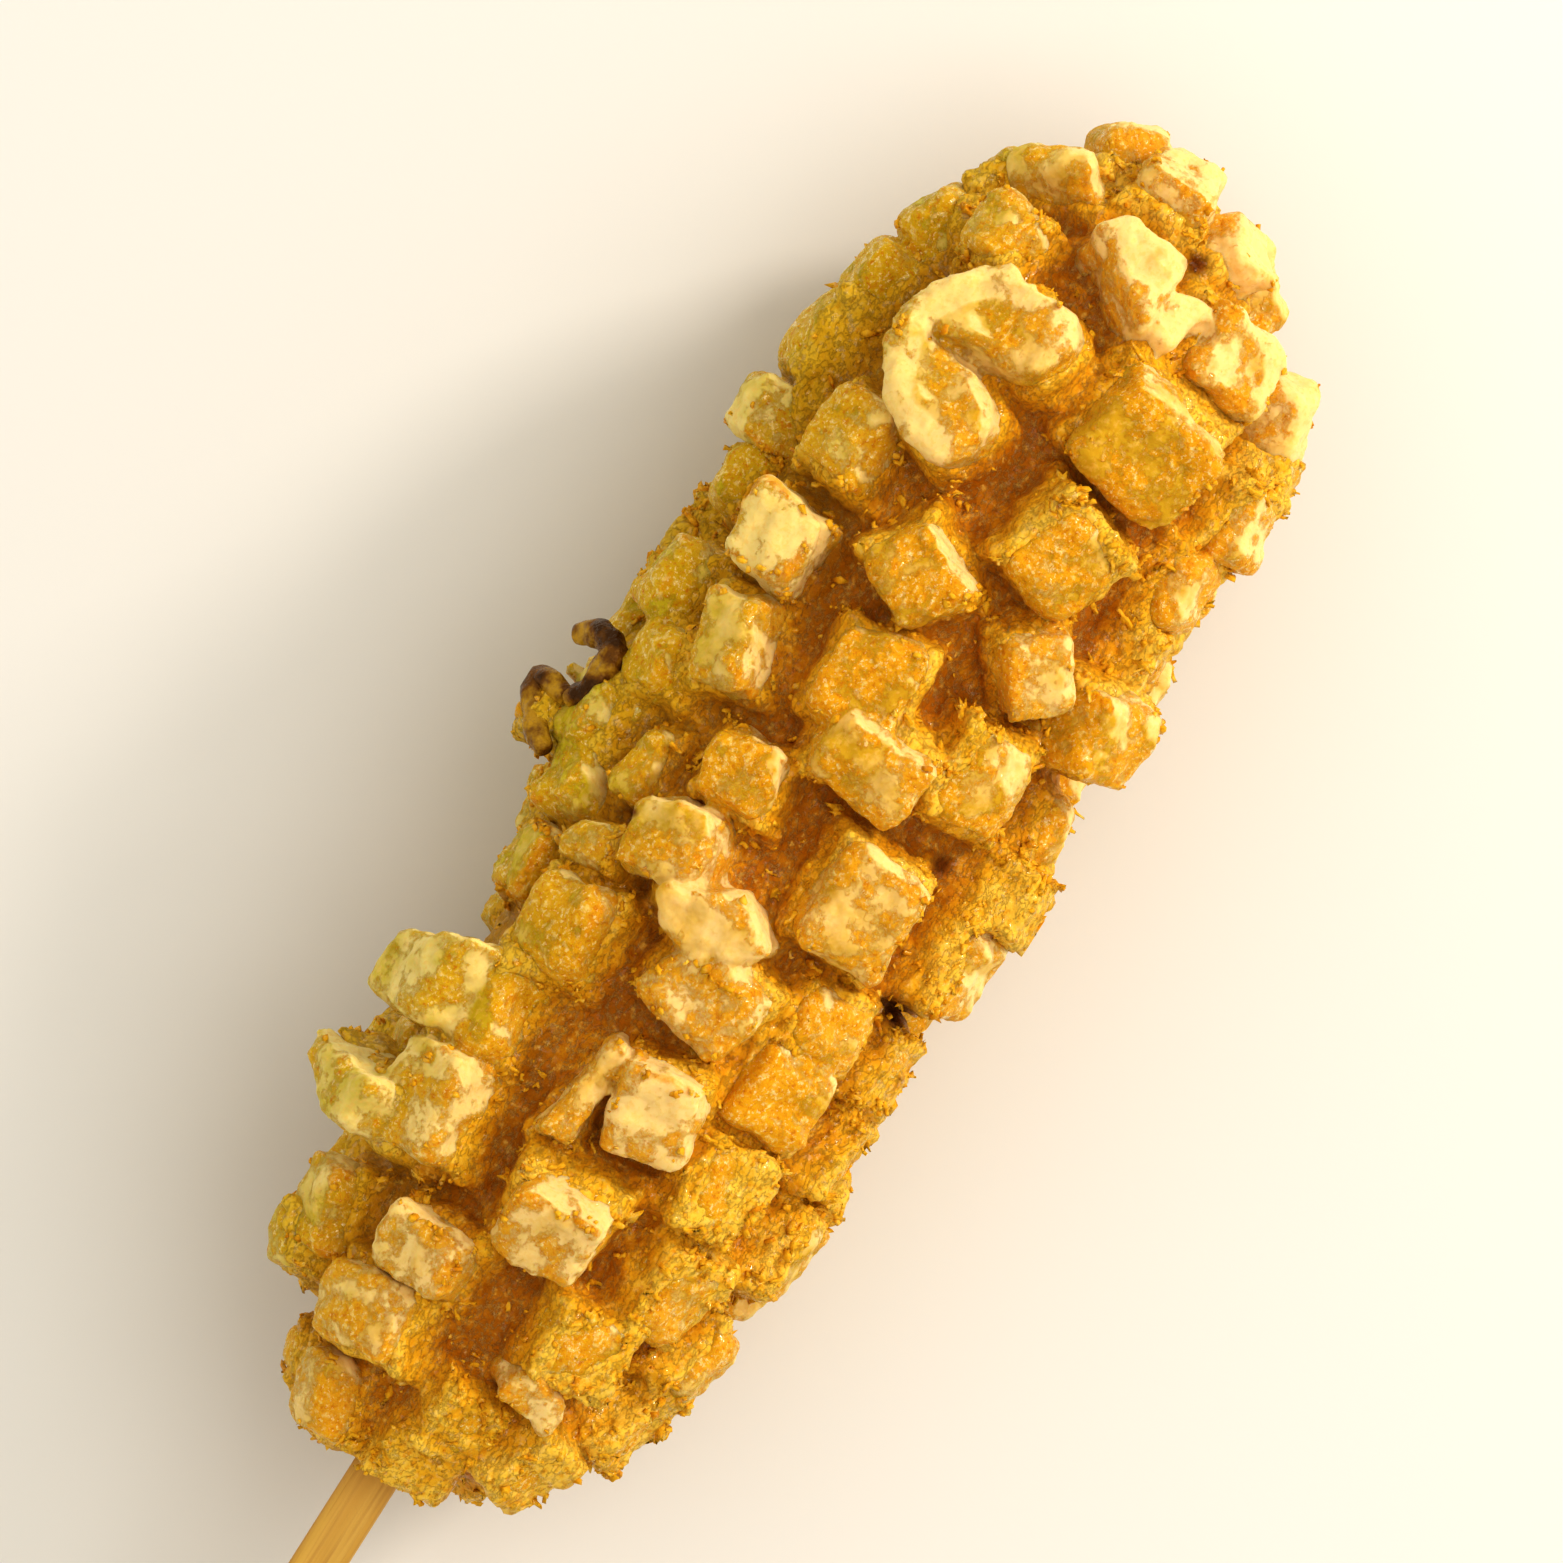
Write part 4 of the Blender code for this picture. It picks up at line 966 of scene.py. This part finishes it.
# Crumbs and flakes: ragged bits of batter and potato that came loose in the oil and fried fast along the
# rims of the dice and wherever batter climbs them. Each is a chip, a grain, a shred or a wide thin flake,
# of a few shapes, and lies half sunk in the skin that carries it.
CHIP_KINDS, GRAIN_KINDS, SHRED_KINDS, FLAKE_KINDS = 7, 1, 1, 8
CHIP_SIDES, CHIP_THICKNESS = 8, (0.09, 0.2)
FLAKE_SIDES, FLAKE_THICKNESS = 15, (0.05, 0.09)
GRAIN_LENGTH, GRAIN_FLATNESS = (0.9, 1.4), (0.6, 1.0)
SHRED_LENGTH, SHRED_FLATNESS = (1.6, 2.2), 0.8
crumb_kinds = bpy.data.collections.new("crumb kinds")
flake_kinds = bpy.data.collections.new("flake kinds")
CRUMB_SEED, SPOT_SEED, TURN_SEED, SIZE_SEED = 5, 3, 1, 2
CRUMBS = {"Density": 0.95, "Least size": 0.4, "Largest size": 1.3, "Sink": 0.05}
RIM_CRUMBS = {"Density": 2.4, "Least size": 0.4, "Largest size": 1.3, "Sink": 0.05}
FLAKES = {"Density": 0.30, "Least size": 1.3, "Largest size": 2.6, "Sink": 0.1}
RAGGED_FROM_EDGE, RAGGED_OVER = 0.62, 0.3
RUN_LENGTH, RUN_SHARE, RUN_CONTRAST = 3.0, 0.35, 1.6
crumb_draw = random.Random(CRUMB_SEED)


def ragged_chip(sides, thickness):
    """A bent, ragged scale of batter, one unit across."""
    chip = bmesh.new()
    rims = []
    thick, bend = crumb_draw.uniform(*thickness), crumb_draw.uniform(-0.7, 0.7)
    narrow = crumb_draw.uniform(0.5, 1.0)
    reaches = [crumb_draw.choice((0.18, 0.3, 0.5, 0.62)) for _ in range(sides)]
    for level in (-thick, thick):
        rim = []
        for step, reach in enumerate(reaches):
            turn = step * math.tau / sides
            x, y = reach * math.cos(turn), narrow * reach * math.sin(turn)
            z = level * crumb_draw.uniform(0.6, 1.4) + bend * (x * x + y * abs(y))
            rim.append(chip.verts.new((x, y, z)))
        rims.append(rim)
    for step in range(sides):
        after = (step + 1) % sides
        chip.faces.new([rims[0][step], rims[0][after], rims[1][after], rims[1][step]])
    chip.faces.new(rims[0][::-1])
    chip.faces.new(rims[1])
    return chip


def ragged_grain(long, flat):
    """A lumpy grain with eight faces, or a shred where it is long."""
    grain = bmesh.new()
    ends = [(long, 0, 0), (0, 1, 0), (-long, 0, 0), (0, -1, 0), (0, 0, flat), (0, 0, -flat)]
    spots = []
    for end in ends:
        jitter = [crumb_draw.uniform(-0.12, 0.12) for _ in range(3)]
        spot = [0.5 * part * crumb_draw.uniform(0.7, 1.2) + by for part, by in zip(end, jitter)]
        spots.append(grain.verts.new(spot))
    for step in range(4):
        after = (step + 1) % 4
        grain.faces.new([spots[step], spots[after], spots[4]])
        grain.faces.new([spots[after], spots[step], spots[5]])
    return grain


crumb_shapes = [ragged_chip(CHIP_SIDES, CHIP_THICKNESS) for _ in range(CHIP_KINDS)]
for _ in range(GRAIN_KINDS):
    crumb_shapes.append(ragged_grain(crumb_draw.uniform(*GRAIN_LENGTH), crumb_draw.uniform(*GRAIN_FLATNESS)))
for _ in range(SHRED_KINDS):
    crumb_shapes.append(ragged_grain(crumb_draw.uniform(*SHRED_LENGTH), SHRED_FLATNESS))
flake_shapes = [ragged_chip(FLAKE_SIDES, FLAKE_THICKNESS) for _ in range(FLAKE_KINDS)]
for kinds, shapes in ((crumb_kinds, crumb_shapes), (flake_kinds, flake_shapes)):
    for number, shape in enumerate(shapes):
        bmesh.ops.recalc_face_normals(shape, faces=shape.faces)
        made = object_of(f"{kinds.name} {number}", shape)
        bpy.context.scene.collection.objects.unlink(made)
        kinds.objects.link(made)


def crumb_surface():
    made, tree, shader, where = surface_of(
        "fried_crumb",
        0.5,
        Specular_IOR_Level=0.25,
        Specular_Tint=(1.0, 0.72, 0.3, 1.0),
        Coat_Roughness=0.1,
        Coat_IOR=1.8,
    )
    rough = speckle(tree, where, 1.6, 4.0, 0.6)
    colour = colour_ramp(
        tree,
        rough,
        (0.34, (0.64, 0.255, 0.004)),
        (0.48, (0.80, 0.43, 0.014)),
        (0.60, (0.88, 0.52, 0.032)),
        (0.74, (0.95, 0.69, 0.17)),
    )
    tree.links.new(colour, shader.inputs["Base Color"])
    dent(tree, shader, speckle(tree, where, 0.4, 2.0), 0.2)
    glints(tree, shader, where, 0.7)
    return made


fried_crumb = crumb_surface()


def crumb_tree(kinds):
    """Scatters crumbs over a skin, thickest where its crumbs field is high."""
    tree, given, out, keys = geometry_tree(kinds.name, ("Density", "Least size", "Largest size", "Sink"))
    density = sums(tree, "MULTIPLY", given.outputs["Density"], named_field(tree, "crumbs"))
    inputs = {"Mesh": given.outputs[0], "Density": density, "Seed": SPOT_SEED}
    spots = node(tree, "GeometryNodeDistributePointsOnFaces", inputs)
    sink = sums(tree, "MULTIPLY", given.outputs["Sink"], -1.0)
    inwards = {0: spots.outputs[1], "Scale": sink}
    down = node(tree, "ShaderNodeVectorMath", inwards, operation="SCALE").outputs[0]
    sunk = node(tree, "GeometryNodeSetPosition", {"Geometry": spots.outputs[0], "Offset": down}).outputs[0]
    turn = {0: (0.0, 0.0, 0.0), 1: (6.28, 6.28, 6.28), "Seed": TURN_SEED}
    turns = node(tree, "FunctionNodeRandomValue", turn, data_type="FLOAT_VECTOR").outputs[0]
    size = {2: given.outputs["Least size"], 3: given.outputs["Largest size"], "Seed": SIZE_SEED}
    sizes = node(tree, "FunctionNodeRandomValue", size, data_type="FLOAT").outputs[1]
    inputs = {"Collection": kinds, "Separate Children": True}
    picked = node(tree, "GeometryNodeCollectionInfo", inputs).outputs[0]
    inputs = {"Points": sunk, "Instance": picked, "Pick Instance": True, "Rotation": turns, "Scale": sizes}
    laid = node(tree, "GeometryNodeInstanceOnPoints", inputs).outputs[0]
    real = node(tree, "GeometryNodeRealizeInstances", {"Geometry": laid}).outputs[0]
    done = node(tree, "GeometryNodeSetMaterial", {"Geometry": real, "Material": fried_crumb}).outputs[0]
    tree.links.new(done, out.inputs[0])
    return tree, keys


def crumbs_on(name, skin, kinds, sizes):
    crumbs = bpy.data.objects.new(name, skin.copy())
    bpy.context.scene.collection.objects.link(crumbs)
    tree, keys = crumb_tree(kinds)
    grow(crumbs, tree, keys, sizes)
    settle(crumbs)
    place(crumbs, fried_crumb, "fried_crust")


def rim_field(skin):
    """How ragged a die's rim is: high along its edges, in runs broken by noise."""
    points = points_of(skin)
    edges = np.empty(len(points), np.float32)
    skin.attributes["edge"].data.foreach_get("value", edges)
    runs = np.array([noise.noise(Vector(point) / RUN_LENGTH) for point in points])
    along_edges = np.clip((edges - RAGGED_FROM_EDGE) / RAGGED_OVER, 0.0, 1.0)
    return along_edges * np.clip(RUN_SHARE + RUN_CONTRAST * runs, 0.0, 1.0)


keep_field(clean_skin, "crumbs", rim_field(clean_skin))
crumbs_on("batter_crumbs", batter_skin, crumb_kinds, CRUMBS)
crumbs_on("rim_crumbs", clean_skin, crumb_kinds, RIM_CRUMBS)
crumbs_on("batter_flakes", batter_skin, flake_kinds, FLAKES)
for kinds in (crumb_kinds, flake_kinds):
    for made in list(kinds.objects):
        bpy.data.objects.remove(made)
    bpy.data.collections.remove(kinds)

# The burnt drip: batter that ran off the dice into the hot oil, where it set in a hook and fried nearly
# black. It is a round strand in two bends, a piece of its own, by the dice on the +Y edge.
BURNT_DRIPS = (
    ((86.4, 27.6), (87.4, 26.2), (87.6, 24.6), (86.6, 23.3), (84.2, 23.2), (82.0, 23.6), (80.4, 24.8)),
    ((80.4, 25.0), (81.0, 26.8), (80.6, 28.4), (79.2, 28.0), (77.6, 26.9), (76.0, 25.6), (74.8, 24.0)),
)
DRIP_RADIUS, DRIP_TIP_RADIUS = 1.5, 0.8
DRIP_STEPS, DRIP_WOBBLE = 14, 0.3
DRIP_HEIGHT, DRIP_SLOPE, DRIP_PIVOT = 9.5, 0.9, 24.0


def burnt_surface():
    made, tree, shader, where = surface_of(
        "burnt_batter", 0.25, Specular_IOR_Level=0.6, Specular_Tint=(1.0, 0.6, 0.25, 1.0)
    )
    rough = speckle(tree, where, 4.0, 4.0, 0.6)
    colour = colour_ramp(
        tree, rough, (0.38, (0.035, 0.009, 0.001)), (0.49, (0.16, 0.058, 0.003)), (0.61, (0.50, 0.29, 0.018))
    )
    tree.links.new(colour, shader.inputs["Base Color"])
    dent(tree, shader, speckle(tree, where, 0.9, 3.0), 0.5)
    return made


burnt = burnt_surface()
burnt_drip = bmesh.new()
for points in BURNT_DRIPS:
    spots = [Vector((x, y, AXIS_HEIGHT + DRIP_HEIGHT - (y - DRIP_PIVOT) * DRIP_SLOPE)) for x, y in points]
    path, up = smooth_path(spots, DRIP_STEPS), Vector((0, DRIP_SLOPE, 1))
    sweep(burnt_drip, path, DRIP_TIP_RADIUS, DRIP_RADIUS, up, DRIP_WOBBLE)
place(object_of("burnt_drip", burnt_drip), burnt, "fried_crust")

# The stick: a flat splint of pale sawn wood with eased edges, its grain running the whole length. It is
# pushed into the sausage before dipping, nearly to the tip, and its bare end is the handle.
STICK_WIDTH, STICK_THICKNESS, STICK_TIP = 5.2, 4.2, 132.0
STICK_EDGE_ROUND, STICK_END_SHRINK, STICK_WEAR = 1.1, 0.9, 0.012
STICK_STEPS, CORNER_STEPS, FACE_STEPS = 240, 6, 6


def stick_section():
    """The stick's outline across its length, as (y, z) points."""
    points = []
    for quarter in range(4):
        turn = math.pi / 2 * quarter
        sign_y = (1, -1, -1, 1)[quarter]
        sign_z = (1, 1, -1, -1)[quarter]
        centre_y = sign_y * (STICK_WIDTH / 2 - STICK_EDGE_ROUND)
        centre_z = sign_z * (STICK_THICKNESS / 2 - STICK_EDGE_ROUND)
        for step in range(CORNER_STEPS + 1):
            angle = turn + math.pi / 2 * step / CORNER_STEPS
            across, up = STICK_EDGE_ROUND * math.cos(angle), STICK_EDGE_ROUND * math.sin(angle)
            points.append((centre_y + across, centre_z + up))
        following = (quarter + 1) % 4
        next_y = (1, -1, -1, 1)[following] * (STICK_WIDTH / 2 - STICK_EDGE_ROUND)
        next_z = (1, 1, -1, -1)[following] * (STICK_THICKNESS / 2 - STICK_EDGE_ROUND)
        angle = turn + math.pi / 2
        last = points[-1]
        end = next_y + STICK_EDGE_ROUND * math.cos(angle), next_z + STICK_EDGE_ROUND * math.sin(angle)
        for step in range(1, FACE_STEPS):
            share = step / FACE_STEPS
            points.append((last[0] + share * (end[0] - last[0]), last[1] + share * (end[1] - last[1])))
    return points


def wood_surface():
    made, tree, shader, where = surface_of("pale_wood", 0.55, Coat_Weight=0.1, Coat_Roughness=0.3)
    lengthwise = node(tree, "ShaderNodeMapping", {"Vector": where, "Scale": (0.03, 1.0, 1.0)}).outputs[0]
    grain = speckle(tree, lengthwise, 0.5, 4.0, 0.6)
    broad = speckle(tree, lengthwise, 2.5, 2.0)
    colour = mixed(tree, spread(tree, broad, 0.35, 0.65), (0.62, 0.34, 0.042), (0.73, 0.46, 0.085))
    colour = mixed(tree, spread(tree, grain, 0.5, 0.72, 0.0, 0.6), colour, (0.48, 0.23, 0.025))
    tree.links.new(colour, shader.inputs["Base Color"])
    dent(tree, shader, grain, 0.12)
    return made


section = stick_section()
stick_shape = bmesh.new()
rings = []
for step in range(STICK_STEPS + 1):
    x = STICK_HANDLE_END + (STICK_TIP - STICK_HANDLE_END) * step / STICK_STEPS
    shrink = STICK_END_SHRINK if step in (0, STICK_STEPS) else 1.0
    ring = []
    for y, z in section:
        worn = 1.0 - STICK_WEAR * (1.0 + noise.noise(Vector((x / 40.0, y * 1.3, z * 1.3))))
        y, z = y * shrink * worn, z * shrink * worn
        ring.append(stick_shape.verts.new((x, STICK_OFF_CENTRE + y, AXIS_HEIGHT + z)))
    rings.append(ring)
for near, far in zip(rings, rings[1:]):
    for k in range(len(section)):
        after = (k + 1) % len(section)
        stick_shape.faces.new([near[k], near[after], far[after], far[k]])
stick_shape.faces.new(rings[0])
stick_shape.faces.new(rings[-1])
bmesh.ops.recalc_face_normals(stick_shape, faces=stick_shape.faces)
place(object_of("wood_stick", stick_shape), wood_surface(), "stick_wood", "stick")

# The table top it lies on: plain, pale and matt, and far wider than any view of the food.
FLOOR_SIZE = 6.0
floor_shape = bmesh.new()
bmesh.ops.create_grid(floor_shape, x_segments=1, y_segments=1, size=FLOOR_SIZE / 2)
floor = object_of("floor", floor_shape)
floor_paint, _, floor_shader, _ = surface_of("floor_paint", 0.7)
floor_shader.inputs["Base Color"].default_value = (0.80, 0.79, 0.77, 1.0)
floor.data.materials.append(floor_paint)

# The camera looks straight down from two metres, turned so that the stick points to the lower left.
VIEW_WIDTH, VIEW_DISTANCE = 0.1563, 2.0
VIEW_MIDDLE = Vector((84.9, 2.4, AXIS_HEIGHT))
VIEW_RIGHT, VIEW_UP = Vector((0.5358, -0.8443, 0.0)), Vector((0.8443, 0.5358, 0.0))
camera = bpy.data.objects.new("camera", bpy.data.cameras.new("camera"))
bpy.context.scene.collection.objects.link(camera)
camera.data.sensor_width = 36.0
camera.data.lens = camera.data.sensor_width * VIEW_DISTANCE / VIEW_WIDTH
camera.data.clip_start = 0.01
aim = TO_ROW @ VIEW_MIDDLE
view_axes = VIEW_RIGHT.normalized(), VIEW_UP.normalized(), Vector((0.0, 0.0, 1.0))
looking = Matrix(view_axes).transposed().to_4x4()
looking.translation = aim + Vector((0.0, 0.0, VIEW_DISTANCE))
camera.matrix_world = looking
bpy.context.scene.camera = camera

# Soft studio light: a warm key low over the tip's near side, a weak fill from above, and a pale room.
KEY_FROM, KEY_SIZE, KEY_POWER, KEY_COLOUR = Vector((0.70, -0.40, 0.42)), 0.16, 4.5, (1.0, 0.92, 0.84)
FILL_FROM, FILL_SIZE, FILL_POWER, FILL_COLOUR = Vector((0.2, -0.3, 0.9)), 0.6, 2.5, (1.0, 0.98, 0.95)
ROOM_COLOUR, ROOM_STRENGTH = (1.0, 0.95, 0.84, 1.0), 0.92
VIEW_EXPOSURE, VIEW_GAMMA = -0.07, 0.8


def soft_light(name, place_at, size, power, colour):
    made = bpy.data.objects.new(name, bpy.data.lights.new(name, "AREA"))
    made.data.shape = "SQUARE"
    made.data.size = size
    made.data.energy = power
    made.data.color = colour
    bpy.context.scene.collection.objects.link(made)
    towards = (place_at - aim).to_track_quat("Z", "Y").to_matrix().to_4x4()
    made.matrix_world = Matrix.Translation(place_at) @ towards


soft_light("key", aim + KEY_FROM, KEY_SIZE, KEY_POWER, KEY_COLOUR)
soft_light("fill", aim + FILL_FROM, FILL_SIZE, FILL_POWER, FILL_COLOUR)
world = bpy.data.worlds.new("studio")
world.use_nodes = True
world.node_tree.nodes["Background"].inputs["Color"].default_value = ROOM_COLOUR
world.node_tree.nodes["Background"].inputs["Strength"].default_value = ROOM_STRENGTH
bpy.context.scene.world = world
view = bpy.context.scene.view_settings
view.view_transform = "Standard"
view.exposure, view.gamma = VIEW_EXPOSURE, VIEW_GAMMA
